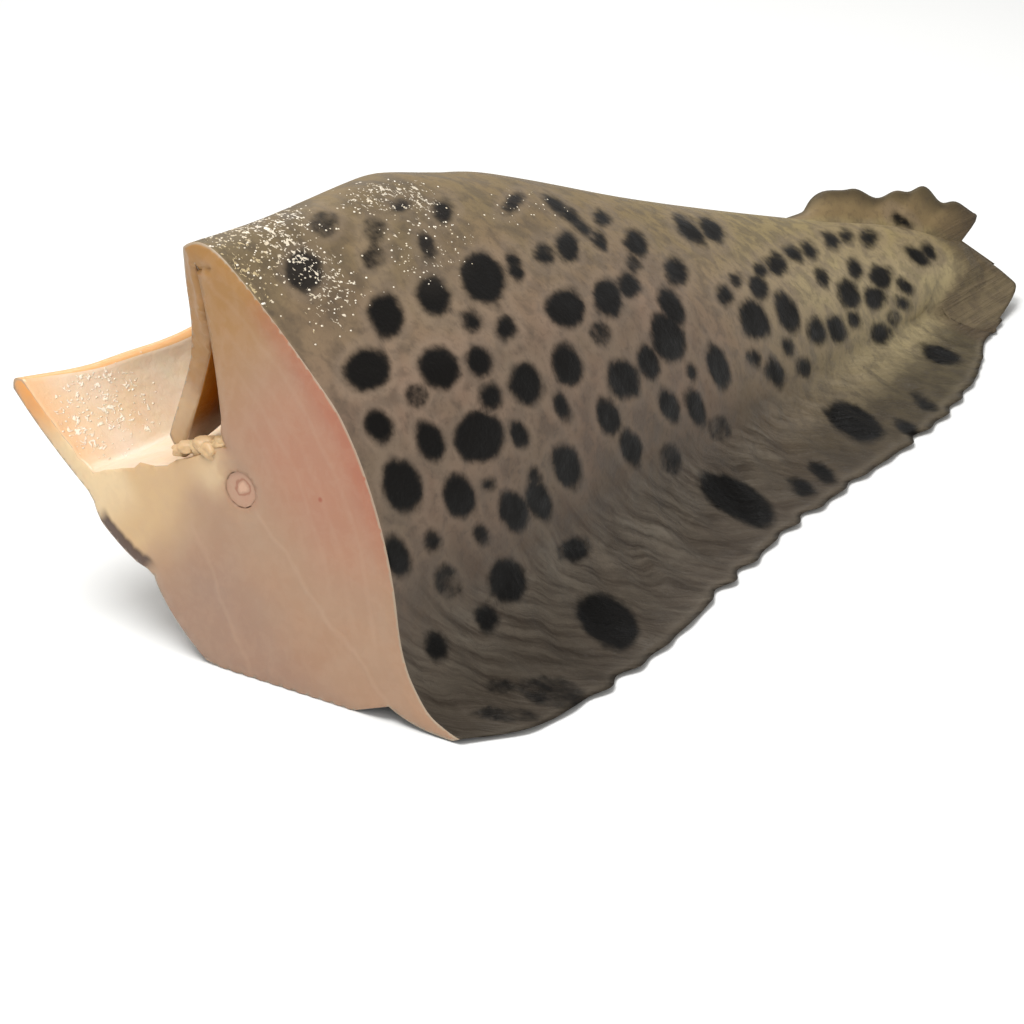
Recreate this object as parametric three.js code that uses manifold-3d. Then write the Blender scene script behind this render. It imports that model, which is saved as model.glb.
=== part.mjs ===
// A headed and gutted spotted wolffish, lying on its left side and back with the belly slit open.
// Millimetres, +Z up, head cut at x = 0 and tail towards +X. The right flank faces up and -Y.
//
// The fish is lofted from cross-sections. In a section "up" runs from the backbone to the back
// (negative towards the belly) and "side" from the backbone to the fish's right flank.

import * as THREE from 'three';
import * as BufferGeometryUtils from 'three/addons/utils/BufferGeometryUtils.js';
import Module from 'manifold-3d';

// ---- driving sizes ----
const fleshLength = 630;          // head cut to the end of the fleshy tail
const tailFinLength = 29;         // tail fin rays beyond the flesh
const ventAt = 0.41;              // the belly slit ends here, as a share of fleshLength
const rowSpacing = 8.45;          // between cross-sections
const raySpacing = 2 * rowSpacing;
const touchGap = 0.3;             // between the flesh and the backbone
const floorClear = 0.5;           // underside of the fins above the floor

// sizes along the body: [share of fleshLength, value]
const backHeight = [[0, 110], [0.12, 106], [0.25, 97], [0.45, 78], [0.65, 57], [0.85, 36], [0.94, 26],
  [1, 17]];
const bellyDepth = [[0, 97], [0.1, 120], [0.22, 126], [0.3, 116], [0.4, 111], [0.57, 88], [0.78, 61],
  [0.9, 41], [1, 18]];
const halfWidth = [[0, 71], [0.15, 73], [0.35, 63], [0.55, 46], [0.75, 29], [0.9, 16], [1, 8]];
const rollAngle = [[0, 46], [0.3, 45], [0.6, 43], [0.85, 43], [1, 57], [1.05, 30]];       // degrees
const spineHeight = [[0, 86], [0.15, 83], [0.3, 75], [0.45, 62], [0.65, 44], [0.85, 30], [1, 23], [1.05, 9]];
const spineSide = [[0, 0], [0.6, 0], [0.8, -3], [0.92, -11], [1, -21], [1.05, -46]];
const dorsalFinHeight = [[0, 38], [0.04, 56], [0.1, 62], [0.22, 64], [0.3, 60], [0.45, 57], [0.7, 66],
  [0.87, 53], [0.95, 46], [1, 34], [1.02, 20], [1.046, 1.5]];
const dorsalFinSweep = [[0.85, 0], [1, 14], [1.046, 2]];         // how far back its rays slant, at their tips
const analFinHeight = [[0.42, 0.4], [0.46, 14], [0.6, 26], [0.8, 24], [0.86, 19], [0.885, 19], [0.905, 11],
  [0.93, 19], [0.97, 16], [1.008, 8], [1.018, 0.6], [1.05, 0.6]];
// degrees above level
const analFinAngle = [[0.42, 20], [0.52, -20], [0.83, -20], [0.87, 65], [0.93, 85], [1, 95]];
const analFinSweep = [[0.42, 0], [0.6, 10], [0.83, 12], [0.88, 20], [0.93, 31], [1.008, 31], [1.018, 2]];
const tailSlant = 60;             // the tail's back corner lies this far in front of its belly corner
const tailSlantFrom = 0.8;
// the left side of the back is pressed flat on the floor: what would be lower than sagDepth lies on
// it, and the skin up to sagTop is drawn down
const sagDepth = 14;
const sagTop = 42;
const sagSide = 15;               // how far to the left it starts to be pressed
const sagEnd = [0.55, 0.8];       // and where along the body it stops

// form of the closed sections
const backPointedness = [[0, 1.45], [0.4, 1.55], [1, 1.9]];    // superellipse power of the back half
const bellyFullness = 2.15;                                   // and of the belly half
const farFullness = 0.1;          // extra width of the left side of the back, which is pressed on the floor

// the belly walls as they stand open at the head cut: [up, side], from the slit's lip outwards
const nearWallOpen = [[-42, -30], [-60, 14], [-85, 42], [-90.5, 54.5], [-80, 65.5], [-47, 70], [0, 71]];
const nearWallAngles = [0, 20, 36, 46, 55, 70, 90];           // the same points on a closed belly, degrees
// how far the far wall's lip is drawn out from where it lies on a closed belly
const farLipUp = [[0, -15], [0.06, 7], [0.14, 18], [0.27, 11], [0.38, 0], [0.41, 0]];
const farLipSide = [[0, -47], [0.06, -34], [0.14, -27], [0.27, -4], [0.38, 0], [0.41, 0]];
const slitOffset = 25;            // degrees by which the slit runs to the left of the midline
const slitGap = 1;                // degrees from the slit's line to either lip
const lipPull = 1.4;              // how much of the far wall is drawn out with its lip
const lipThickness = 8;
const shutLipThickness = 2;       // near the vent, where the lips meet
const nearWallThickness = 7;      // at the fold
const farWallThickness = 10;
const closedWallThickness = 16;   // of the far wall where the belly is shut
const foldShare = 0.47;           // of the near wall, from its lip to its fold
const bendShare = 0.45;           // of the far wall, from the flank to where it bends out
const cavityRoof = [-18, 6];      // corner under the backbone where the open cavity ends, near side
const cavityRoofFar = [-25, -14];
const closedRoof = [-18, 9];      // and where the belly is shut, mirrored on the far side
const closedBulge = 15;           // how far the shut cavity's sides round outwards
const nearBulge = [3, 3];         // and the open ones
const farBulge = [-3, -8];
const flapSetBack = 14;           // the folded flap lies this far behind the head cut
const flapSetBackEnd = 0.12;      // where it has come forward again, as a share of fleshLength

// fins
const fanSpread = 5;              // growth of the tail fin's half height
const analFinRootThickness = 6.3;
const analFinShare = 0.36;        // but no more than this share of the body's half width
const lowFin = 12;                // a fin lower than this has no scallops
const finBend = 4;                // how far out and how high the skin bends from the flank into the fin
const finBendShare = 0.3;         // but no higher than this share of the flank's height there
const finEdgeThickness = 2.2;
const rayRelief = 0.7;
const finEdgeUneven = 0.5;        // how ragged the anal fin's edge is
const raggedness = 61;            // and how often, in radians over fleshLength
const rayNotch = 3.5;             // depth of the scallops between ray tips

// backbone
const backboneRadius = [[0, 8], [0.5, 6], [0.95, 2.6]];
const backboneEnd = 0.95;
const backboneSides = 12;
const backboneRings = 28;
const cutThrough = -0.01;         // the channel runs out past the head cut, as a share of fleshLength
const recess = 0.001;             // and the bone ends just inside it

// columns round a section
const nearWallColumns = 15;
const nearBackColumns = 6;
const farBackColumns = 8;
const nearBackSweep = 55;         // degrees from the flank to where the skin runs out into the fin
const farBackSweep = 74;
const finColumns = 4;
const farWallColumns = 12;

const skinColor = 0x7a7263;
const boneColor = 0xe3b9a4;

// ---- small helpers ----
const lerp = THREE.MathUtils.lerp;
const radians = THREE.MathUtils.degToRad;
const mix = (a, b, t) => [lerp(a[0], b[0], t), lerp(a[1], b[1], t)];

// smooth curve through [place, value] pairs
function along(pairs, place) {
  const last = pairs.length - 1;
  if (place <= pairs[0][0]) return pairs[0][1];
  if (place >= pairs[last][0]) return pairs[last][1];
  const slope = (i) => {
    const a = pairs[Math.max(i - 1, 0)];
    const b = pairs[Math.min(i + 1, last)];
    return (b[1] - a[1]) / (b[0] - a[0]);
  };
  const i = pairs.findIndex((pair) => pair[0] > place) - 1;
  const [x0, y0] = pairs[i];
  const [x1, y1] = pairs[i + 1];
  const width = x1 - x0;
  const t = (place - x0) / width;
  const rise = slope(i) * width * t * (1 - t) ** 2;
  const fall = slope(i + 1) * width * t * t * (1 - t);
  return y0 + (y1 - y0) * t * t * (3 - 2 * t) + rise - fall;
}

// ---- cross-sections ----

// half height of the tail fin and its root, past the end of the flesh
function fanHeight(place, base) {
  if (place <= 1) return base;
  const t = Math.min((place - 1) * fleshLength / tailFinLength, 1);
  return (base + fanSpread * Math.sin(t * 1.9)) * Math.sqrt(1 - 0.4 * t ** 4);
}

function fanThickness(place, width) {
  if (place <= 1) return width;
  const t = Math.min((place - 1) * fleshLength / tailFinLength, 1);
  return lerp(width, finEdgeThickness / 2, Math.min(t * 2, 1));
}

// point of the closed outline: 0 degrees is the belly's midline, 90 the right flank, 180 the back
function oval(place, degrees) {
  const c = Math.cos(radians(degrees));
  const q = Math.sin(radians(degrees));
  const width = fanThickness(place, along(halfWidth, place));
  if (c > 0) {
    const power = 2 / bellyFullness;
    const depth = fanHeight(place, along(bellyDepth, place));
    return [-depth * c ** power, Math.sign(q) * width * Math.abs(q) ** power];
  }
  const power = 2 / along(backPointedness, place);
  const height = fanHeight(place, along(backHeight, place));
  const fuller = q < 0 ? 1 + farFullness * 2 * Math.abs(c * q) : 1;
  return [height * Math.abs(c) ** power, Math.sign(q) * fuller * width * Math.abs(q) ** power];
}

// how far the belly stands open: 1 at the head cut, 0 at the vent and behind it
function openness(place) {
  return 0.5 + 0.5 * Math.cos(Math.PI * Math.min(place / ventAt, 1) ** 0.95);
}

function slitAngle(place) {
  return -slitOffset * Math.min(1, Math.max(0, 1 - place / ventAt) * 2.5);
}

// the near wall folds in over the cavity where it stands open
function nearCurve(place) {
  const lipAngle = slitAngle(place) + (place < ventAt ? slitGap : 0);
  return new THREE.SplineCurve(nearWallOpen.map((point, i) => {
    const closed = oval(place, lerp(lipAngle, 90, nearWallAngles[i] / 90));
    return new THREE.Vector2(...mix(closed, point, openness(place)));
  }));
}

// the far wall is drawn out to its lip, more so the nearer to the lip
function farCurve(place) {
  const slit = slitAngle(place) - (place < ventAt ? slitGap : 0);
  const steps = 6;
  const points = [];
  for (let i = 0; i <= steps; i++) {
    const t = i / steps;
    const [up, out] = oval(place, lerp(-90, slit, t));
    const pull = place < ventAt ? t ** lipPull : 0;
    points.push(new THREE.Vector2(up + pull * along(farLipUp, place), out + pull * along(farLipSide, place)));
  }
  return new THREE.SplineCurve(points);
}

// outer and inner points of one wall; inner points lie under the skin by the wall's thickness
function wallPoints(curve, columns, thickness) {
  const outer = [];
  const inner = [];
  for (let i = 0; i <= columns; i++) {
    const t = i / columns;
    const p = curve.getPoint(t);
    const d = curve.getPoint(Math.min(t + 0.02, 1)).sub(curve.getPoint(Math.max(t - 0.02, 0))).normalize();
    const depth = thickness(t);
    outer.push([p.x, p.y]);
    inner.push([p.x + d.y * depth, p.y - d.x * depth]);
  }
  return { outer, inner };
}

// the cavity's side from the wall's fold or bend to the corner under the backbone
function cavitySide(from, corner, bulge, count) {
  const middle = [(from[0] + corner[0]) / 2 + bulge[0], (from[1] + corner[1]) / 2 + bulge[1]];
  const points = [];
  for (let i = 1; i <= count; i++) {
    const t = i / count;
    points.push(mix(mix(from, middle, t), mix(middle, corner, t), t));
  }
  return points;
}

function cavityDepth(place) {
  return Math.sqrt(Math.max(1 - (place / ventAt) ** 3, 0));
}

// section outline: outer points from the near lip round the back to the far lip, and, in front of
// the vent, the inner point that belongs to each
function section(place) {
  const open = openness(place);
  const lip = lerp(shutLipThickness, lipThickness, Math.min(open * 1.5, 1));
  const near = wallPoints(nearCurve(place), nearWallColumns,
    (t) => lerp(lip, nearWallThickness, THREE.MathUtils.smoothstep(t, 0, foldShare)));
  const far = wallPoints(farCurve(place), farWallColumns,
    (t) => lerp(lerp(closedWallThickness, farWallThickness, open), lip, t));
  const foldColumn = Math.round(nearWallColumns * foldShare);
  const bendColumn = Math.round(farWallColumns * bendShare);

  const roof = mix(closedRoof, cavityRoof, open);
  const roofFar = mix([closedRoof[0], -closedRoof[1]], cavityRoofFar, open);
  const nearSide = cavitySide(near.inner[foldColumn], roof,
    mix([-closedBulge, closedBulge], nearBulge, open), nearWallColumns - foldColumn);
  const farSide = cavitySide(far.inner[bendColumn], roofFar,
    mix([-closedBulge, -closedBulge], farBulge, open), bendColumn).reverse();

  const outer = [...near.outer];
  const inner = [...near.inner.slice(0, foldColumn + 1), ...nearSide];
  for (let i = 1; i < nearBackColumns; i++) {
    outer.push(oval(place, 90 + nearBackSweep * i / nearBackColumns));
    inner.push(roof);
  }
  const finStart = outer.length;
  for (let i = 0; i <= 2 * finColumns; i++) {
    outer.push(null);
    inner.push(i < finColumns ? roof : roofFar);
  }
  for (let i = farBackColumns - 1; i > 0; i--) {
    outer.push(oval(place, -90 - farBackSweep * i / farBackColumns));
    inner.push(roofFar);
  }
  outer.push(...far.outer);
  inner.push(...farSide, ...far.inner.slice(bendColumn));
  return { outer, inner, finStart };
}

// ---- placing a section in space ----

// how much lower a point of the left side lies because the fish is soft
function sag(place, out, z) {
  if (z >= sagTop) return 0;
  const pressed = THREE.MathUtils.clamp(-out / sagSide, 0, 1) * (1 - THREE.MathUtils.smoothstep(place, ...sagEnd));
  const flat = Math.max((z - sagDepth) * sagTop / (sagTop - sagDepth), 0);
  return pressed * (z - flat);
}

function place3(place, [up, out], pushBack = 0) {
  const roll = radians(along(rollAngle, place));
  const towardsBack = THREE.MathUtils.clamp(up / along(backHeight, place), 0, 1) ** 1.5;
  const slant = tailSlant * THREE.MathUtils.smoothstep(place, tailSlantFrom, 1) * towardsBack;
  const x = place * fleshLength + pushBack - slant;
  const y = along(spineSide, place) - up * Math.cos(roll) - out * Math.sin(roll);
  const z = along(spineHeight, place) - up * Math.sin(roll) + out * Math.cos(roll);
  const lowest = finEdgeThickness * THREE.MathUtils.clamp(0.5 + out, 0, 1);
  return new THREE.Vector3(x, y, Math.max(z - sag(place, out, z), lowest));
}

// scallops of the fin edge and ribs of the rays, one ray every raySpacing
function rayWave(place) {
  return Math.cos(2 * Math.PI * place * fleshLength / raySpacing);
}

// share of a fin's full relief and thickness, less where the fin is only a few millimetres high
function finShare(height) {
  return Math.min(height / lowFin + 0.25, 1);
}

// points of the dorsal fin, which lies out over the floor: its near face runs on from the flank in a
// hollow curve to the edge, and its far face comes back along the floor to the root
function dorsalFin(place, flank, root) {
  const height = along(dorsalFinHeight, place);
  const rays = height > lowFin ? (1 + rayWave(place)) / 2 : 0.5;
  const reach = height - (height > lowFin ? rayNotch * (1 - rays) : 0);
  const thin = finEdgeThickness * finShare(height);
  const lie = thin / 2 + floorClear + rayRelief * rays;
  const edge = new THREE.Vector3(root.x + along(dorsalFinSweep, place), root.y - reach, lie);
  const bend = new THREE.Vector3(flank.x, Math.max(flank.y - finBend, edge.y),
    lie + THREE.MathUtils.clamp((flank.z - lie) * finBendShare, 0, finBend));
  const nearFace = new THREE.QuadraticBezierCurve3(flank, bend, edge);
  const points = [];
  for (let i = 0; i <= 2 * finColumns; i++) {
    const t = 1 - Math.abs(i - finColumns) / finColumns;
    if (i < finColumns) points.push(nearFace.getPoint(t));
    else if (i === finColumns) points.push(edge);
    else {
      const back = root.clone().lerp(edge, t);
      back.z = floorClear + Math.max(root.z - floorClear, 0) * (1 - t) ** 3;
      points.push(back);
    }
  }
  points.forEach((point, i) => {
    if (i > 0 && i < finColumns) point.z += rayRelief * (rays - 0.5) * i / finColumns;
  });
  return points;
}

// the anal fin hangs behind the belly and stands up near the tail
function analFin(place, keel) {
  const height = along(analFinHeight, place);
  const angle = radians(along(analFinAngle, place));
  const rays = (1 + rayWave(place)) / 2;
  const reach = height * (1 - finEdgeUneven * rays * (1 + Math.sin(place * raggedness)) / 2);
  const points = [];
  for (let i = 0; i <= 2 * finColumns; i++) {
    const t = 1 - Math.abs(i - finColumns) / finColumns;
    const most = analFinShare * fanThickness(place, along(halfWidth, place));
    const thin = Math.min(lerp(analFinRootThickness, finEdgeThickness, Math.sqrt(t)) * finShare(height), most);
    const lift = Math.sign(finColumns - i) * thin / 2;
    points.push(new THREE.Vector3(
      keel.x + t * along(analFinSweep, place),
      keel.y + t * reach * Math.cos(angle) - lift * Math.sin(angle),
      Math.max(keel.z + t * reach * Math.sin(angle), finEdgeThickness) + lift * Math.cos(angle)));
  }
  return points;
}

// ---- the carcass ----
class Surface {
  constructor() {
    this.vertices = [];
    this.faces = [];
    this.known = new Map();
  }

  // number of the vertex at this point, made only once
  add(v) {
    const key = v.toArray().map((value) => Math.round(value * 500)).join(' ');
    if (!this.known.has(key)) this.known.set(key, this.vertices.push(v) - 1);
    return this.known.get(key);
  }

  triangle(a, b, c) {
    if (a !== b && b !== c && c !== a) this.faces.push(a, b, c);
  }

  quad(a, b, c, d) {
    this.triangle(a, b, c);
    this.triangle(a, c, d);
  }

  strip(rowA, rowB) {
    for (let i = 0; i + 1 < rowA.length; i++) this.quad(rowA[i], rowB[i], rowB[i + 1], rowA[i + 1]);
  }

  geometry() {
    const geometry = new THREE.BufferGeometry();
    geometry.setAttribute('position', new THREE.Float32BufferAttribute(
      this.vertices.flatMap((v) => [v.x, v.y, v.z]), 3));
    geometry.setIndex(this.faces);
    return geometry;
  }
}

function outerRow(place, shape) {
  const row = shape.outer.map((point, j) => point && place3(place, point, setBack(place, j)));
  const fin = shape.finStart;
  const root = place3(place, oval(place, 180));
  const flank = place3(place, oval(place, 90 + nearBackSweep));
  dorsalFin(place, flank, root).forEach((point, i) => { row[fin + i] = point; });
  return row;
}

// the folded flap starts a little behind the head cut
function setBack(place, column) {
  const fold = Math.round(nearWallColumns * foldShare);
  if (column >= fold || place > flapSetBackEnd) return 0;
  return flapSetBack * (1 - column / fold) * (1 - place / flapSetBackEnd) ** 2;
}

function carcassSurface() {
  const surface = new Surface();
  const total = fleshLength + tailFinLength;
  const rows = Math.round(total / rowSpacing);
  const ventRow = Math.round(ventAt * fleshLength / rowSpacing);
  const outerRows = [];
  const innerRows = [];

  for (let r = 0; r <= rows; r++) {
    const place = r * rowSpacing / fleshLength;
    const shape = section(place);
    const points = outerRow(place, shape);
    if (r < ventRow) {
      const outer = points.map((p) => surface.add(p));
      const midline = place3(place, oval(place, slitAngle(place)));
      const inner = shape.inner.map((point, j) => {
        const p = place3(place, point, setBack(place, j));
        return surface.add(midline.clone().lerp(p, cavityDepth(place)));
      });
      outerRows.push([inner[0], ...outer, inner[inner.length - 1]]);
      innerRows.push(inner);
    } else {
      const keel = place3(place, oval(place, 0));
      const fin = analFin(place, keel);
      const quarters = [0, 1, 2, 3, 4].map((i) => fin[i * finColumns / 2]);
      const [nearRoot, nearMiddle, edge, farMiddle, farRoot] = quarters;
      const body = points.slice(2, points.length - 2);
      const row = [edge, nearMiddle, nearRoot, ...body, farRoot, farMiddle, edge];
      outerRows.push(row.map((p) => surface.add(p)));
      if (r === ventRow) innerRows.push(ventEnd(surface, place, outerRows[r][0], shape.inner.length));
    }
  }

  for (let r = 0; r < rows; r++) surface.strip(outerRows[r + 1], outerRows[r]);
  for (let r = 0; r < ventRow; r++) surface.strip(innerRows[r], innerRows[r + 1]);
  headCut(surface, outerRows[0], innerRows[0]);
  tailEnd(surface, outerRows[rows]);
  return surface;
}

// the cavity ends in a point a little under the skin, and the slit in the point where the fin starts
function ventEnd(surface, place, slitEnd, columns) {
  const [up, out] = oval(place, 0);
  const deep = surface.add(place3(place, [up + shutLipThickness * 2, out]));
  return Array.from({ length: columns }, (_, j) => (j === 0 || j === columns - 1 ? slitEnd : deep));
}

// the head cut is one flat polygon: round the outline and back round the cavity
function headCut(surface, outline, cavity) {
  const loop = [...outline.slice(1, outline.length - 1), ...[...cavity].reverse()];
  const corners = loop.filter((v, i) => v !== loop[(i + 1) % loop.length]);
  const flat = corners.map((v) => new THREE.Vector2(surface.vertices[v].y, surface.vertices[v].z));
  for (const triangle of THREE.ShapeUtils.triangulateShape(flat, [])) {
    const [a, b, c] = triangle.map((i) => flat[i]);
    const facesBack = b.clone().sub(a).cross(c.clone().sub(a)) > 0;
    const [i, j, k] = triangle.map((n) => corners[n]);
    if (facesBack) surface.triangle(i, k, j);
    else surface.triangle(i, j, k);
  }
}

// the tail's thin end is closed from one side to the other, by the shorter diagonal each time
function tailEnd(surface, row) {
  const far = (a, b) => surface.vertices[row[a]].distanceTo(surface.vertices[row[b]]);
  let i = 0;
  let j = row.length - 1;
  while (j - i > 1) {
    const nearStep = far(i + 1, j) < far(i, j - 1);
    surface.triangle(row[j], row[i], nearStep ? row[i + 1] : row[j - 1]);
    if (nearStep) i++;
    else j--;
  }
}

// ---- the backbone, and the channel that it lies in ----
function backboneGeometry(extra, start) {
  const surface = new Surface();
  const rings = [];
  const end = backboneEnd + extra / fleshLength;
  for (let r = 0; r <= backboneRings; r++) {
    const place = lerp(start, end, r / backboneRings);
    const radius = along(backboneRadius, place) + extra;
    const ring = [];
    for (let i = 0; i <= backboneSides; i++) {
      const angle = 2 * Math.PI * i / backboneSides;
      if (i === backboneSides) ring.push(ring[0]);
      else ring.push(surface.add(place3(place, [radius * Math.cos(angle), radius * Math.sin(angle)])));
    }
    rings.push(ring);
  }
  for (let r = 0; r < backboneRings; r++) surface.strip(rings[r], rings[r + 1]);
  const front = surface.add(place3(start, [0, 0]));
  const back = surface.add(place3(end, [0, 0]));
  for (let i = 0; i < backboneSides; i++) {
    surface.triangle(front, rings[0][i], rings[0][i + 1]);
    surface.triangle(back, rings[backboneRings][i + 1], rings[backboneRings][i]);
  }
  return surface.geometry();
}

// ---- booleans ----
const wasm = await Module();
wasm.setup();

function solid(geometry) {
  const merged = BufferGeometryUtils.mergeVertices(geometry, 1e-4);
  return new wasm.Manifold(new wasm.Mesh({
    numProp: 3,
    vertProperties: Float32Array.from(merged.getAttribute('position').array),
    triVerts: Uint32Array.from(merged.index.array),
  }));
}

function meshGeometry(manifold) {
  const mesh = manifold.getMesh();
  const geometry = new THREE.BufferGeometry();
  geometry.setAttribute('position', new THREE.BufferAttribute(Float32Array.from(mesh.vertProperties), 3));
  geometry.setIndex(new THREE.BufferAttribute(Uint32Array.from(mesh.triVerts), 1));
  geometry.computeVertexNormals();
  return geometry;
}

// ---- the fish ----
const flesh = solid(carcassSurface().geometry());
const channel = solid(backboneGeometry(touchGap, cutThrough));
const carcass = new THREE.Mesh(meshGeometry(flesh.subtract(channel)),
  new THREE.MeshStandardMaterial({ color: skinColor, roughness: 0.35, metalness: 0 }));
carcass.name = 'carcass';

const backbone = new THREE.Mesh(meshGeometry(solid(backboneGeometry(0, recess))),
  new THREE.MeshStandardMaterial({ color: boneColor, roughness: 0.5, metalness: 0 }));
backbone.name = 'backbone';

const wolffish = new THREE.Group();
wolffish.name = 'wolffish';
wolffish.add(carcass, backbone);

// the origin is under the middle of the fish
const box = new THREE.Box3().setFromObject(wolffish);
const middle = box.getCenter(new THREE.Vector3());
wolffish.position.set(-middle.x, -middle.y, -box.min.z);

export default wolffish;
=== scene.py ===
import math
import random

import bpy
import numpy as np
from mathutils import Matrix, Vector, noise
from mathutils.geometry import delaunay_2d_cdt
from mathutils.kdtree import KDTree


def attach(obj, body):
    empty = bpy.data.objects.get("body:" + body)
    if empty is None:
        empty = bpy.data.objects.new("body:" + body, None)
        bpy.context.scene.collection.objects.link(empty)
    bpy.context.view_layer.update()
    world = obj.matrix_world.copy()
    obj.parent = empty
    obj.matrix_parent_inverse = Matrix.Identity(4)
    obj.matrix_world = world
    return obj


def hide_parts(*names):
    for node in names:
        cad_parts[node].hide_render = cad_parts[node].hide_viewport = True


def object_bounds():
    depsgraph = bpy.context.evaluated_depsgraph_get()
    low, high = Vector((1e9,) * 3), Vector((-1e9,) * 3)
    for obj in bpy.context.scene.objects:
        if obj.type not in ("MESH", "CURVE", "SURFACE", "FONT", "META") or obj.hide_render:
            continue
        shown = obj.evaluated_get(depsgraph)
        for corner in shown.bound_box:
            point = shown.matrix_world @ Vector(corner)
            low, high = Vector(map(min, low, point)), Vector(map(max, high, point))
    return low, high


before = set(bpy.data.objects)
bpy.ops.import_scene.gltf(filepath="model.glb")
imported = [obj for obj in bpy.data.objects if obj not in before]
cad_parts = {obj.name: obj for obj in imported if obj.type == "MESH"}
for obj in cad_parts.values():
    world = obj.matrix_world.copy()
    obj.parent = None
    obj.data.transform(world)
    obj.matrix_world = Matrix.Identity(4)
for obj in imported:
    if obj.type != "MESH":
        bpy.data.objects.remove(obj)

cadLow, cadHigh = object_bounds()
mm = 0.001

# camera
# the fish in the photo is seen from its cut end, a little from above
view = {
    "azimuth": -55, "elevation": 22.5,
    "place": (-830.6, -720.5, 529.1),   # millimetres from the backbone's cut end, on the floor
    "lens": 99.15, "sensor": 36, "imageSize": 1024,
}

# the fish's own frame: head cut at x = 0, backbone at y = 0, floor at z = 0
headCutX = cadLow.x / mm
spineY = cadHigh.y / mm - 129.0


def toScene(points):
    return (np.asarray(points, float) + (headCutX, spineY, 0)) * mm


azimuth, elevation = math.radians(view["azimuth"]), math.radians(view["elevation"])
towards = np.array((math.sin(azimuth) * math.cos(elevation), -math.cos(azimuth) * math.cos(elevation),
                    math.sin(elevation)))
rightwards = np.array((math.cos(azimuth), math.sin(azimuth), 0))
upwards = np.cross(towards, rightwards)
eye = toScene(view["place"])
focalPixels = view["lens"] / view["sensor"] * view["imageSize"]

cameraData = bpy.data.cameras.new("camera")
cameraData.lens = view["lens"]
cameraData.sensor_width = view["sensor"]
cameraData.clip_end = 50
camera = bpy.data.objects.new("camera", cameraData)
turned = Matrix((rightwards, upwards, towards)).transposed().to_4x4()
camera.matrix_world = Matrix.Translation(eye) @ turned
bpy.context.collection.objects.link(camera)
bpy.context.scene.camera = camera


# where points of the scene fall in the photo, in its pixels
def pixelOf(points):
    rel = points - eye
    depth = -(rel @ towards)
    half = view["imageSize"] / 2
    return np.stack([half + focalPixels * (rel @ rightwards) / depth,
                     half - focalPixels * (rel @ upwards) / depth], -1), depth


print("camera ready")

# form of the fish, millimetres
fish = {
    "fleshLength": 630, "tailFinLength": 29, "ventAt": 0.41,
    "backHeight": [[0, 110], [0.12, 106], [0.25, 97], [0.45, 78], [0.65, 57], [0.85, 36], [0.94, 26], [1, 17]],
    "bellyDepth": [[0, 97], [0.1, 120], [0.22, 125.4], [0.3, 118], [0.4, 111], [0.57, 88], [0.78, 61], [0.9, 41],
                   [1, 18]],
    "halfWidth": [[0, 71], [0.15, 73], [0.35, 63], [0.55, 46], [0.75, 29], [0.9, 16], [1, 8]],
    "rollAngle": [[0, 46], [0.3, 45], [0.6, 43], [0.85, 43], [1, 57], [1.05, 30]],
    "spineHeight": [[0, 86], [0.15, 83], [0.3, 75], [0.45, 62], [0.65, 44], [0.85, 30], [1, 23], [1.05, 9]],
    "spineSide": [[0, 0], [0.6, 0], [0.8, -3], [0.92, -11], [1, -21], [1.05, -46]],
    "tailSlant": 60, "tailSlantFrom": 0.8,
    "backPointedness": [[0, 1.45], [0.4, 1.55], [1, 1.9]], "bellyFullness": 2.15, "farFullness": 0.1,
    "finEdge": 2.2, "fanSpread": 5,
    # the left side of the back is pressed flat on the floor by its own weight
    "sagDepth": 14, "sagTop": 42, "sagSide": 15, "sagEnd": (0.55, 0.8),
}
belly = {
    "nearWall": [[-42, -30], [-60, 14], [-85, 42], [-90.5, 54.5], [-80, 65.5], [-47, 70], [0, 71]],
    "nearAngles": [0, 20, 36, 46, 55, 70, 90],
    "farLipUp": [[0, -15], [0.06, 7], [0.14, 18], [0.27, 11], [0.38, 0], [0.41, 0]],
    "farLipSide": [[0, -47], [0.06, -34], [0.14, -27], [0.27, -4], [0.38, 0], [0.41, 0]],
    "slitOffset": 25, "slitGap": 1, "lipPull": 1.4, "lip": 8, "nearLip": 9.5, "shutLip": 2,
    "nearThick": 8.5, "farThick": 10, "closedThick": 16,
    "roof": [-18, 6], "roofFar": [-25, -14], "closedRoof": [-18, 9],
    "closedBulge": 15, "nearBulge": [3, 3], "farBulge": [-3, -8],
    "setBack": 14, "setBackEnd": 0.12, "lipRounding": 0.35,
    "flapTouch": 0.86, "flapTouchFrom": 0.3, "flapTouchTo": 0.62,   # how the flap lies against the fillet
    # a lip of loose skin at the far side of the cut: share of the far wall, height, how far back
    "ragged": 4.5, "raggedBack": 14, "raggedFrom": 6, "raggedTo": 6,
    "looseAt": 0.19, "looseWidth": 0.13, "looseHeight": 6.5, "looseBack": 26,
}
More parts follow.
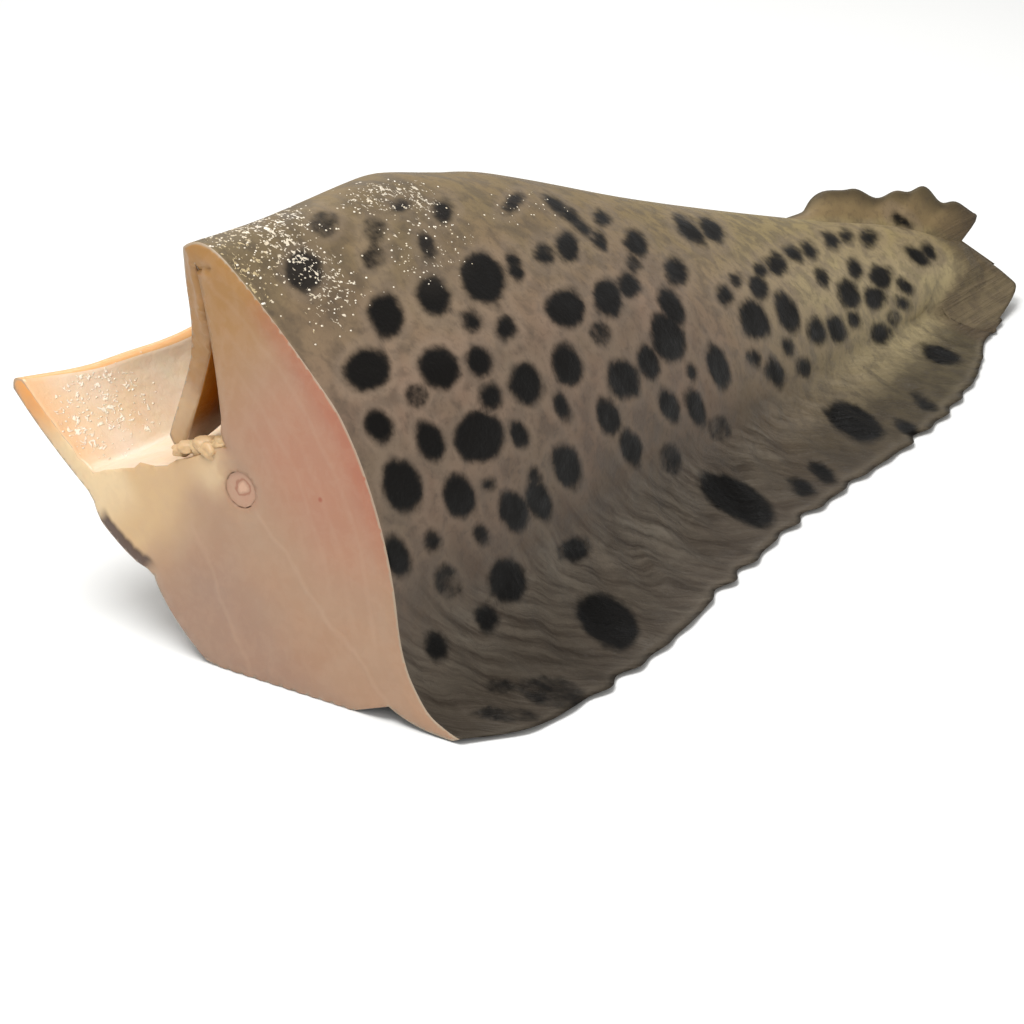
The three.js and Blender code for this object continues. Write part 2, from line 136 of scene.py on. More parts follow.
fins = {
    "backFin": [[0, 38], [0.04, 56], [0.1, 62], [0.22, 64], [0.3, 60], [0.45, 57], [0.7, 66], [0.87, 53],
                [0.95, 46], [1, 34], [1.02, 20], [1.046, 1.5]],
    "backFinSweep": [[0.85, 0], [1, 14], [1.046, 2]],
    "bellyFin": [[0.42, 0.4], [0.46, 14], [0.6, 26], [0.8, 24], [0.86, 19], [0.885, 19], [0.905, 11],
                 [0.93, 19], [0.97, 16], [1.008, 8], [1.018, 0.6], [1.05, 0.6]],
    "bellyFinAngle": [[0.42, 20], [0.52, -20], [0.83, -20], [0.87, 65], [0.93, 85], [1, 95]],
    "bellyFinSweep": [[0.42, 0], [0.6, 10], [0.83, 12], [0.88, 20], [0.93, 31], [1.008, 31], [1.018, 2]],
    "rootThick": 6.3, "shareOfWidth": 0.36, "low": 12, "bend": 4, "bendShare": 0.3, "floorClear": 0.5,
    "raySpacing": 25.4, "rayRelief": 0.7, "rayNotch": 4.4, "uneven": 0.5, "raggedness": 61,
    "finerRays": 5, "finerRelief": 0.22, "foldRelief": 1.2, "rayRoundness": 1.9, "calmRear": 0.75,
}
# how finely it is divided
mesh = {
    "rowSpacing": 1.6, "nearWall": 45, "fold": 21, "nearBack": 38, "nearBackSweep": 55,
    "finNear": 20, "finFar": 10, "farBack": 20, "farBackSweep": 74, "farWall": 24, "bend": 10,
    "roof": 8, "lip": 8, "keel": 6, "cutGrid": 2.2, "flapEdge": 4, "flapTan": 46,
    "ease": 12, "easeSteps": 14,      # how the belly wall is eased into the back at the flank
}


def along(pairs, place):
    last = len(pairs) - 1
    if place <= pairs[0][0]:
        return pairs[0][1]
    if place >= pairs[last][0]:
        return pairs[last][1]

    def slope(i):
        a, b = pairs[max(i - 1, 0)], pairs[min(i + 1, last)]
        return (b[1] - a[1]) / (b[0] - a[0])

    i = next(k for k, pair in enumerate(pairs) if pair[0] > place) - 1
    (x0, y0), (x1, y1) = pairs[i], pairs[i + 1]
    width = x1 - x0
    t = (place - x0) / width
    return (y0 + (y1 - y0) * t * t * (3 - 2 * t) + slope(i) * width * t * (1 - t) ** 2
            - slope(i + 1) * width * t * t * (1 - t))


def smooth(value, low, high):
    t = np.clip((value - low) / (high - low), 0, 1)
    return t * t * (3 - 2 * t)


def lerp(a, b, t):
    return a + (b - a) * t


# how far past the end of the flesh, in the tail fin: 0 to 1
def intoTail(place):
    return min(max((place - 1) * fish["fleshLength"] / fish["tailFinLength"], 0), 1)


# points of the closed outline; 0 degrees is the belly's midline, 90 the right flank, 180 the back
def oval(place, degrees):
    c, q = np.cos(np.radians(degrees)), np.sin(np.radians(degrees))
    t = intoTail(place)
    grown = fish["fanSpread"] * math.sin(t * 1.9)
    shrunk = math.sqrt(1 - 0.4 * t ** 4)
    depth = (along(fish["bellyDepth"], place) + grown) * shrunk
    height = (along(fish["backHeight"], place) + grown) * shrunk
    width = lerp(along(fish["halfWidth"], place), fish["finEdge"] / 2, min(t * 2, 1))
    low, high = 2 / fish["bellyFullness"], 2 / along(fish["backPointedness"], place)
    fuller = np.where(q < 0, 1 + fish["farFullness"] * 2 * abs(c * q), 1)
    up = np.where(c > 0, -depth * abs(c) ** low, height * abs(c) ** high)
    side = np.sign(q) * np.where(c > 0, width * abs(q) ** low, fuller * width * abs(q) ** high)
    return np.stack([up, side], -1)


def openness(place):
    return 0.5 + 0.5 * math.cos(math.pi * min(place / fish["ventAt"], 1) ** 0.95)


def slitAngle(place):
    return -belly["slitOffset"] * min(1, max(0, 1 - place / fish["ventAt"]) * 2.5)


# points of a smooth curve through the given ones
def curveAt(points, t):
    points = np.asarray(points, float)
    last = len(points) - 1
    where = np.clip(t, 0, 1) * last
    i = np.minimum(np.floor(where).astype(int), last - 1)
    w = (where - i)[:, None]
    p0, p1, p2, p3 = (points[np.clip(i + k, 0, last)] for k in (-1, 0, 1, 2))
    v0, v1 = (p2 - p0) / 2, (p3 - p1) / 2
    return (2 * p1 - 2 * p2 + v0 + v1) * w ** 3 + (-3 * p1 + 3 * p2 - 2 * v0 - v1) * w ** 2 + v0 * w + p1


# outer and inner points of a belly wall
def wallPoints(points, columns, thickness):
    t = np.linspace(0, 1, columns + 1)
    outer = curveAt(points, t)
    d = curveAt(points, t + 0.02) - curveAt(points, t - 0.02)
    d /= np.linalg.norm(d, axis=1)[:, None]
    return outer, outer + np.stack([d[:, 1], -d[:, 0]], -1) * thickness(t)[:, None]


def bowed(start, end, bulge, count):
    middle = (start + end) / 2 + bulge
    t = (np.arange(1, count + 1) / count)[:, None]
    return lerp(lerp(start, middle, t), lerp(middle, end, t), t)


# a point of a section, set in the fish: rolled over, and slanted at the tail
def placed(place, points, pushBack=0.0):
    points = np.atleast_2d(points)
    up, side = points[:, 0], points[:, 1]
    roll = math.radians(along(fish["rollAngle"], place))
    towardsBack = np.clip(up / along(fish["backHeight"], place), 0, 1) ** 1.5
    slant = fish["tailSlant"] * smooth(place, fish["tailSlantFrom"], 1) * towardsBack
    x = place * fish["fleshLength"] + pushBack - slant
    y = along(fish["spineSide"], place) - up * math.cos(roll) - side * math.sin(roll)
    z = along(fish["spineHeight"], place) - up * math.sin(roll) + side * math.cos(roll)
    pressed = np.clip(-side / fish["sagSide"], 0, 1) * (1 - smooth(place, *fish["sagEnd"]))
    flat = np.maximum((z - fish["sagDepth"]) * fish["sagTop"] / (fish["sagTop"] - fish["sagDepth"]), 0)
    z = np.where(z < fish["sagTop"], z - pressed * (z - flat), z)
    return np.stack([x, y, np.maximum(z, fish["finEdge"] * np.clip(0.5 + side, 0, 1))], -1)


# a ray's own length and how deep the notch beside it is, the same each run
rayRandom = random.Random(4)
rayOwn = [(rayRandom.uniform(-2.2, 0.4), rayRandom.uniform(0.35, 1.25)) for _ in range(60)]


def rayShape(place):
    turns = place * fish["fleshLength"] / fins["raySpacing"]
    short, notch = rayOwn[int(round(turns))][0], rayOwn[int(turns)][1]
    return 1 - abs(math.sin(math.pi * turns)) ** fins["rayRoundness"], short, notch


def finThin(height):
    return min(height / fins["low"] + 0.25, 1)


# the back fin lies out over the floor; its near face runs on from the flank in a hollow curve
def backFin(place, flank, root):
    height = along(fins["backFin"], place)
    rays, short, notch = rayShape(place)
    scalloped = smooth(height, fins["low"], fins["low"] + 12)
    scalloped *= 1 - fins["calmRear"] * smooth(place, 0.7, 0.84)
    reach = height - scalloped * (fins["rayNotch"] * notch * (1 - rays) - short * rays)
    thin = fish["finEdge"] * finThin(height)
    lie = thin / 2 + fins["floorClear"] + fins["rayRelief"] * rays
    edge = np.array([root[0] + along(fins["backFinSweep"], place), root[1] - reach, lie])
    bend = np.array([flank[0], max(flank[1] - fins["bend"], edge[1]),
                     lie + np.clip((flank[2] - lie) * fins["bendShare"], 0, fins["bend"])])
    t = (np.arange(mesh["finNear"] + 1) / mesh["finNear"])[:, None]
    near = lerp(lerp(flank, bend, t), lerp(bend, edge, t), t)
    share = t[:, 0]
    x = place * fish["fleshLength"]
    finer = math.cos(2 * math.pi * x * fins["finerRays"] / fins["raySpacing"])
    near[:, 2] += fins["rayRelief"] * (rays - 0.5) * 1.6 * share * (1 - share ** 6)
    near[:, 2] += fins["finerRelief"] * finer * np.sin(np.pi * share) ** 0.7 * finThin(height)
    folds = np.array([noise.noise(Vector((x / 19 + 3 * s, s * 2.2, 7))) for s in share])
    near[:, 2] += fins["foldRelief"] * folds * np.sin(np.pi * np.minimum(share * 1.1, 1)) * finThin(height)
    near[:, 2] = np.maximum(near[:, 2], lie * 0.85)
    t = (np.arange(mesh["finFar"] - 1, -1, -1) / mesh["finFar"])[:, None]
    far = lerp(root, edge, t)
    far[:, 2] = fins["floorClear"] + max(root[2] - fins["floorClear"], 0) * (1 - t[:, 0]) ** 3
    return near, far


# the belly fin hangs behind the vent and stands up near the tail, ragged at its edge
def bellyFin(place, keel, count):
    height = along(fins["bellyFin"], place)
    angle = math.radians(along(fins["bellyFinAngle"], place))
    rays, short, notch = rayShape(place)
    reach = height * (1 - fins["uneven"] * rays * (1 + math.sin(place * fins["raggedness"])) / 2)
    reach *= 1 - 0.12 * notch * (1 - rays)
    t = np.linspace(1, 0, count)
    most = fins["shareOfWidth"] * lerp(along(fish["halfWidth"], place), fish["finEdge"] / 2,
                                       min(intoTail(place) * 2, 1))
    thin = np.minimum(lerp(fins["rootThick"], fish["finEdge"], np.sqrt(t)) * finThin(height), most)
    faces = []
    for lift in (thin / 2, -thin / 2):
        lift = np.where(t == 1, 0, lift)
        z = np.maximum(keel[2] + t * reach * math.sin(angle), fish["finEdge"]) + lift * math.cos(angle)
        y = keel[1] + t * reach * math.cos(angle) - lift * math.sin(angle)
        faces.append(np.stack([keel[0] + t * along(fins["bellyFinSweep"], place), y, z], -1))
    return faces[0], faces[1][::-1]


# everything about one cross-section: outer points, cavity points and what they are
def section(place):
    opened = openness(place)
    slit, gap = slitAngle(place), belly["slitGap"] if place < fish["ventAt"] else 0
    lip = lerp(belly["shutLip"], belly["lip"], min(opened * 1.5, 1))
    nearT = np.array(belly["nearAngles"]) / 90
    nearPoints = lerp(oval(place, lerp(slit + gap, 90, nearT)), np.array(belly["nearWall"]), opened)
    foldAt = mesh["fold"] / mesh["nearWall"]
    nearLip = lerp(belly["shutLip"], belly["nearLip"], min(opened * 1.5, 1))
    near, nearIn = wallPoints(nearPoints, mesh["nearWall"],
                              lambda t: lerp(nearLip, belly["nearThick"], smooth(t, 0, foldAt)))
    farT = np.arange(7) / 6
    pull = farT ** belly["lipPull"] if place < fish["ventAt"] else farT * 0
    lipMove = np.array([along(belly["farLipUp"], place), along(belly["farLipSide"], place)])
    farPoints = oval(place, lerp(-90, slit - gap, farT)) + pull[:, None] * lipMove
    far, farIn = wallPoints(farPoints, mesh["farWall"],
                            lambda t: lerp(lerp(belly["closedThick"], belly["farThick"], opened), lip, t))

    loose = np.exp(-((np.arange(len(far)) / mesh["farWall"] - belly["looseAt"]) / belly["looseWidth"]) ** 4)
    loose *= (1 - smooth(place * fish["fleshLength"], 0, belly["looseBack"])) * belly["looseHeight"]
    outwards = far - farIn
    far = far + outwards / np.maximum(np.linalg.norm(outwards, axis=1), 1e-6)[:, None] * loose[:, None]
    shut = np.array(belly["closedRoof"], float)
    roof = lerp(shut, np.array(belly["roof"]), opened)
    roofFar = lerp(shut * (1, -1), np.array(belly["roofFar"]), opened)
    closed = belly["closedBulge"]
    nearSide = bowed(nearIn[mesh["fold"]], roof, lerp(np.array([-closed, closed]), np.array(belly["nearBulge"]),
                     opened), mesh["nearWall"] - mesh["fold"])
    # the flap lies against the fillet, and stands off it only near its lip
    flap = nearIn[:mesh["fold"]]
    apart = np.linalg.norm(flap[:, None] - nearSide[None], axis=2)
    touch = belly["flapTouch"] * opened * smooth(np.arange(mesh["fold"]) / mesh["fold"],
                                                 belly["flapTouchFrom"], belly["flapTouchTo"])
    nearIn = np.concatenate([lerp(flap, nearSide[apart.argmin(1)], touch[:, None]), nearIn[mesh["fold"]:]])
    farSide = bowed(farIn[mesh["bend"]], roofFar, lerp(np.array([-closed, -closed]),
                    np.array(belly["farBulge"]), opened), mesh["bend"])[::-1]
    across = lerp(roof, roofFar, (np.arange(1, mesh["roof"]) / mesh["roof"])[:, None])
    inner = np.concatenate([nearIn[:mesh["fold"] + 1], nearSide, across, farSide, farIn[mesh["bend"]:]])
    first = len(nearIn[:mesh["fold"] + 1]) + len(nearSide) - belly["raggedFrom"]
    last = len(inner) - belly["raggedTo"]
    fade = math.exp(-place * fish["fleshLength"] / belly["raggedBack"]) * belly["ragged"]
    for i in range(first, last):
        spread = min(i - first, last - 1 - i, 5) / 5
        where = Vector((inner[i][0] / 7, inner[i][1] / 7, place * 40))
        inner[i][0] += fade * spread * noise.noise(where)
        inner[i][1] += fade * spread * noise.noise(where + Vector((9, 9, 9))) * 0.6

    nearBack = oval(place, 90 + mesh["nearBackSweep"] * np.arange(1, mesh["nearBack"]) / mesh["nearBack"])
    farBack = oval(place, -90 - mesh["farBackSweep"] * np.arange(mesh["farBack"] - 1, 0, -1) / mesh["farBack"])
    return near, nearBack, farBack, far, inner


# the folded flap starts a little behind the head cut
def flapBack(place, count):
    back = np.zeros(count)
    if place < belly["setBackEnd"]:
        t = np.arange(mesh["fold"]) / mesh["fold"]
        back[:mesh["fold"]] = belly["setBack"] * (1 - t) * (1 - place / belly["setBackEnd"]) ** 2
    return back


def cavityDepth(place):
    return math.sqrt(max(1 - (place / fish["ventAt"]) ** 3, 0))


# the carcass mesh
# loose points and faces are collected here, then points in one place are made one
parts = {"points": [], "around": [], "finShare": [], "place": [], "section": [], "rim": [],
         "faces": [], "slots": []}
slotNames = ["skin", "flesh", "lining", "lipEdge"]


def addPoints(points, around, finShare, place, sectionPoints, rim):
    start = sum(len(block) for block in parts["points"])
    count = len(points)
    parts["points"].append(np.asarray(points, float))
    for key, value in (("around", around), ("finShare", finShare), ("place", place), ("rim", rim)):
        parts[key].append(np.broadcast_to(np.asarray(value, float), (count,)))
    flat = np.zeros((count, 3))
    flat[:, :2] = sectionPoints
    parts["section"].append(flat)
    return np.arange(start, start + count)


def strip(rowA, rowB, slots):
    parts["faces"].append(np.stack([rowA[:-1], rowB[:-1], rowB[1:], rowA[1:]], -1))
    parts["slots"].append(np.broadcast_to(np.asarray(slots), (len(rowA) - 1,)))


def lipStrip(inside, outside, beyond, count):
    t = (np.arange(count) / count)[:, None]
    thick = np.linalg.norm(outside - inside)
    outwards = (outside - beyond) / max(np.linalg.norm(outside - beyond), 1e-6)
    return lerp(inside, outside, t) + outwards * thick * belly["lipRounding"] * np.sin(np.pi * t)


def outerRow(place, open_):
    near, nearBack, farBack, far, inner = section(place)
    back = flapBack(place, len(near))
    root, flank = placed(place, oval(place, 180.0))[0], placed(place, oval(place, 90.0 + mesh["nearBackSweep"]))[0]
    finNear, finFar = backFin(place, flank, root)
    wall = placed(place, near, back)
    farWall = placed(place, far)
    body = [wall, placed(place, nearBack), finNear, finFar, placed(place, farBack), farWall]
    finDegrees, finSteps = 60, np.arange(mesh["finNear"] + 1) / mesh["finNear"]
    farSteps = np.arange(mesh["finFar"] - 1, -1, -1) / mesh["finFar"]
    start = 90 + mesh["nearBackSweep"]
    around = [90 * np.arange(len(near)) / mesh["nearWall"],
              90 + mesh["nearBackSweep"] * np.arange(1, mesh["nearBack"]) / mesh["nearBack"],
              start + finDegrees * finSteps, start + finDegrees * farSteps,
              90 + mesh["nearBackSweep"] * np.arange(mesh["farBack"] - 1, 0, -1) / mesh["farBack"],
              90 * np.arange(len(far) - 1, -1, -1) / mesh["farWall"]]
    flatFin = np.zeros((1, 2))
    sections = [near, nearBack, np.repeat(flatFin, len(finNear), 0), np.repeat(flatFin, len(finFar), 0),
                farBack, far]
    share = [np.zeros(len(near)), np.zeros(len(nearBack)), finSteps, farSteps, np.zeros(len(farBack)),
             np.zeros(len(far))]
    points, around, sections, share = (np.concatenate(group) for group in (body, around, sections, share))
    low, high = mesh["nearWall"] - mesh["ease"], mesh["nearWall"] + mesh["ease"]
    for _ in range(mesh["easeSteps"]):
        points[low:high] = (points[low - 1:high - 1] + 2 * points[low:high] + points[low + 1:high + 1]) / 4
    extra, skip = mesh["lip"], mesh["keel"]
    if open_:
        depth = cavityDepth(place)
        midline = placed(place, oval(place, float(slitAngle(place))))[0]
        push = np.zeros(len(inner))
        push[:mesh["fold"]] = back[:mesh["fold"]]
        cavity = lerp(midline, placed(place, inner, push), depth)
        head = lipStrip(cavity[0], points[0], points[1], extra)
        tail = lipStrip(cavity[-1], points[-1], points[-2], extra)[::-1]
        points = np.concatenate([head, points, tail])
        around = np.concatenate([np.full(extra, around[0]), around, np.full(extra, around[-1])])
        share = np.concatenate([np.zeros(extra), share, np.zeros(extra)])
        t = (np.arange(extra) / extra)[:, None]
        sections = np.concatenate([lerp(inner[0], near[0], t), sections, lerp(inner[-1], far[-1], t)[::-1]])
        return points, around, share, sections, cavity, inner
    keel = placed(place, oval(place, 0.0))[0]
    count = extra + skip
    nearFin, farFin = bellyFin(place, keel, count)
    points = np.concatenate([nearFin, points[skip:-skip], farFin])
    around = np.concatenate([np.linspace(-40, 0, count), around[skip:-skip], np.linspace(0, -40, count)])
    share = np.concatenate([np.linspace(1, 0, count), share[skip:-skip], np.linspace(0, 1, count)])
    sections = np.concatenate([np.repeat(flatFin, count, 0), sections[skip:-skip], np.repeat(flatFin, count, 0)])
    return points, around, share, sections, None, inner


def buildRows():
    total = fish["fleshLength"] + fish["tailFinLength"]
    rows = round(total / mesh["rowSpacing"])
    ventRow = math.ceil(fish["ventAt"] * fish["fleshLength"] / mesh["rowSpacing"])
    outerRows, cavityRows = [], []
    for r in range(rows + 1):
        place = r * total / rows / fish["fleshLength"]
        points, around, share, sections, cavity, inner = outerRow(place, r < ventRow)
        ids = addPoints(points, around, share, place, sections, 0)
        if r >= ventRow:
            ids[-1] = ids[0]
        outerRows.append(ids)
        if cavity is not None:
            cavityRows.append(addPoints(cavity, 0, 0, place, inner, 0))
        elif r == ventRow:
            up, side = oval(place, 0.0)
            deep = placed(place, (up + 2 * belly["shutLip"], side))[0]
            end = np.repeat(deep[None], len(inner), 0)
            end[[0, -1]] = points[0]
            cavityRows.append(addPoints(end, 0, 0, place, inner, 0))
    columns = len(outerRows[0]) - 1
    slots = np.zeros(columns, int)
    innerFlap = mesh["lip"] + mesh["fold"] - mesh["flapEdge"]
    lipSlots = slots.copy()
    lipSlots[:mesh["lip"]] = lipSlots[columns - mesh["lip"]:] = slotNames.index("lipEdge")
    for r in range(rows):
        rowSlots = lipSlots if r + 1 < ventRow else slots
        reach = r * mesh["rowSpacing"] / mesh["flapTan"]
        if reach < 1:
            # bare tissue on the outside of the folded flap, ragged where the skin begins
            rowSlots = rowSlots.copy()
            bare = innerFlap * math.sqrt(1 - reach ** 2) + 3 * noise.noise(Vector((r * 0.35, 0, 5)))
            rowSlots[:max(int(bare), mesh["lip"])] = slotNames.index("lipEdge")
        strip(outerRows[r + 1], outerRows[r], rowSlots)
    for r in range(ventRow):
        strip(cavityRows[r], cavityRows[r + 1], slotNames.index("lining"))
    closeTail(outerRows[rows])
    return outerRows[0], cavityRows[0]


# the thin end of the tail fin is closed from one side to the other
def closeTail(row):
    points = np.concatenate(parts["points"])
    i, j, triangles = 0, len(row) - 1, []
    while j - i > 1:
        a, b = points[row[i]], points[row[j]]
        if np.linalg.norm(points[row[i + 1]] - b) < np.linalg.norm(a - points[row[j - 1]]):
            triangles.append((row[j], row[i], row[i + 1], row[i + 1]))
            i += 1
        else:
            triangles.append((row[j], row[i], row[j - 1], row[j - 1]))
            j -= 1
    parts["faces"].append(np.array(triangles))
    parts["slots"].append(np.zeros(len(triangles), int))


# the backbone's channel
bone = {
    "radius": [[0, 8], [0.5, 6], [0.95, 2.6]], "end": 0.95, "sides": 28, "rings": 60, "gap": 0.3,
}


def boneRing(place, radius):
    a = np.arange(bone["sides"]) / bone["sides"] * 2 * math.pi
    flat = np.stack([radius * np.cos(a), radius * np.sin(a)], -1)
    return placed(place, flat), flat


def buildChannel():
    rings = []
    for r in range(bone["rings"] + 1):
        place = bone["end"] * r / bone["rings"] + (bone["gap"] / fish["fleshLength"] if r else 0)
        points, flat = boneRing(place, along(bone["radius"], place) + bone["gap"])
        ids = addPoints(points, 0, 0, place, flat, 20)
        rings.append(np.append(ids, ids[0]))
    for r in range(bone["rings"]):
        strip(rings[r + 1], rings[r], slotNames.index("flesh"))
    place = bone["end"] + bone["gap"] / fish["fleshLength"]
    middle = addPoints(placed(place, (0, 0)), 0, 0, place, (0, 0), 20)[0]
    last = rings[-1]
    parts["faces"].append(np.stack([last[:-1], last[1:], np.full(bone["sides"], middle),
                                    np.full(bone["sides"], middle)], -1)[:, [1, 0, 2, 3]])
    parts["slots"].append(np.full(bone["sides"], slotNames.index("flesh")))
    return rings[0][:-1]


# the head cut
cut = {
    "rimWidth": 1.3, "swell": 1.0, "swellFrom": 6, "lumps": 0.7, "lumpSize": 17,
}


# fills the flat cut between the outline, the cavity and the backbone with even triangles
def buildCut(outline, cavity, hole):
    every = np.concatenate(parts["points"])
    sectionOf = np.concatenate(parts["section"])
    loop = np.concatenate([outline, cavity[::-1][1:-1]])
    edge = every[loop]
    ring = every[hole]
    border = np.concatenate([edge, ring])
    inside = []
    tree = KDTree(len(border))
    for k, point in enumerate(border):
        tree.insert((point[1], point[2], 0), k)
    tree.balance()
    skinTree = KDTree(len(outline))
    for k, point in enumerate(every[outline]):
        skinTree.insert((point[1], point[2], 0), k)
    skinTree.balance()
    low, high = edge[:, 1:].min(0), edge[:, 1:].max(0)
    boneMiddle = ring[:, 1:].mean(0)
    boneRadius = np.linalg.norm(ring[:, 1:] - boneMiddle, axis=1).min()
    step = mesh["cutGrid"]
    zs = np.arange(low[1], high[1], step * math.sqrt(0.75))
    for row, z in enumerate(zs):
        for y in np.arange(low[0] + (row % 2) * step / 2, high[0], step):
            atBone = np.linalg.norm((y, z) - boneMiddle) < boneRadius
            if not atBone and tree.find((y, z, 0))[2] > step * 0.55:
                inside.append((y, z))
    flat = [Vector((p[1], p[2])) for p in border] + [Vector(p) for p in inside]
    n, m = len(edge), len(ring)
    edges = [(i, (i + 1) % n) for i in range(n)] + [(n + i, n + (i + 1) % m) for i in range(m)]
    verts, _, faces, origins, _, _ = delaunay_2d_cdt(flat, edges, [], 1, 1e-5)
    # the backbone's hole stays open
    faces = [face for face in faces
             if np.linalg.norm(np.mean([verts[k] for k in face], axis=0) - boneMiddle) > boneRadius * 0.97]
    ids = np.zeros(len(verts), int)
    fresh, freshFor = [], []
    for k, origin in enumerate(origins):
        if origin and min(origin) < len(border):
            ids[k] = loop[min(origin)] if min(origin) < n else hole[min(origin) - n]
        else:
            fresh.append((verts[k].x, verts[k].y))
            freshFor.append(k)
    backs = []
    rims = []
    for y, z in fresh:
        close = tree.find_n((y, z, 0), 6)
        weight = np.array([1 / (c[2] + 0.2) ** 2 for c in close]) * (border[close[0][1]][0] > 0.01)
        backs.append((weight @ np.array([border[c[1]][0] for c in close])) / max(weight.sum(), 1e-9))
        rims.append(skinTree.find((y, z, 0))[2])
    backs, rims = np.array(backs), np.array(rims)
    roll = math.radians(along(fish["rollAngle"], 0))
    height = along(fish["spineHeight"], 0)
    fresh = np.array(fresh)
    up = -fresh[:, 0] * math.cos(roll) - (fresh[:, 1] - height) * math.sin(roll)
    side = -fresh[:, 0] * math.sin(roll) + (fresh[:, 1] - height) * math.cos(roll)
    nearest = np.array([tree.find((y, z, 0))[2] for y, z in fresh])
    lumps = np.array([noise.noise(Vector((y / cut["lumpSize"], z / cut["lumpSize"], 3))) for y, z in fresh])
    x = backs - smooth(nearest, 0, cut["swellFrom"]) * (cut["swell"] + cut["lumps"] * lumps)
    newIds = addPoints(np.column_stack([x, fresh]), 0, 0, 0, np.stack([up, side], -1), rims)
    ids[freshFor] = newIds
    points = np.concatenate(parts["points"])
    made = []
    for face in faces:
        a, b, c = (ids[k] for k in face[:3])
        turn = np.cross(points[b] - points[a], points[c] - points[a])[0]
        made.append((a, c, b, b) if turn > 0 else (a, b, c, c))
    parts["faces"].append(np.array(made))
    parts["slots"].append(np.full(len(made), slotNames.index("flesh")))


outline, cavityEdge = buildRows()
hole = buildChannel()
buildCut(outline, cavityEdge, hole)
print("carcass rows ready")


# one closed mesh from the parts
def weld():
    points = np.concatenate(parts["points"])
    faces = np.concatenate(parts["faces"])
    slots = np.concatenate(parts["slots"])
    keys = np.round(points * 200).astype(np.int64)
    _, first, inverse = np.unique(keys, axis=0, return_index=True, return_inverse=True)
    faces = inverse.reshape(-1)[faces]
    polygons, kept = [], []
    for face, slot in zip(faces.tolist(), slots.tolist()):
        corners = [v for k, v in enumerate(face) if v != face[k - 1]]
        if len(set(corners)) == len(corners) and len(corners) > 2:
            polygons.append(corners)
            kept.append(slot)
    fields = {key: np.concatenate(parts[key])[first] for key in ("around", "finShare", "place", "section", "rim")}
    return points[first], polygons, kept, fields


points, polygons, polygonSlots, fields = weld()
carcassMesh = bpy.data.meshes.new("carcassFlesh")
carcassMesh.from_pydata(toScene(points).tolist(), [], polygons)
carcassMesh.polygons.foreach_set("material_index", polygonSlots)
carcassMesh.polygons.foreach_set("use_smooth", [True] * len(polygons))
carcassMesh.update()
carcass = bpy.data.objects.new("carcassFlesh", carcassMesh)
bpy.context.collection.objects.link(carcass)
print("carcass mesh", len(points), "points", sum(len(p) - 2 for p in polygons), "triangles")


def vertexNormals(data):
    normals = np.zeros(len(data.vertices) * 3)
    data.vertex_normals.foreach_get("vector", normals)
    return normals.reshape(-1, 3)


def vertexPlaces(data):
    places = np.zeros(len(data.vertices) * 3)
    data.vertices.foreach_get("co", places)
    return places.reshape(-1, 3)


def keep(data, name, values):
    kind = "FLOAT" if values.ndim == 1 else "FLOAT_VECTOR"
    layer = data.attributes.new(name, kind, "POINT")
    layer.data.foreach_set("value" if values.ndim == 1 else "vector", values.astype(np.float32).ravel())


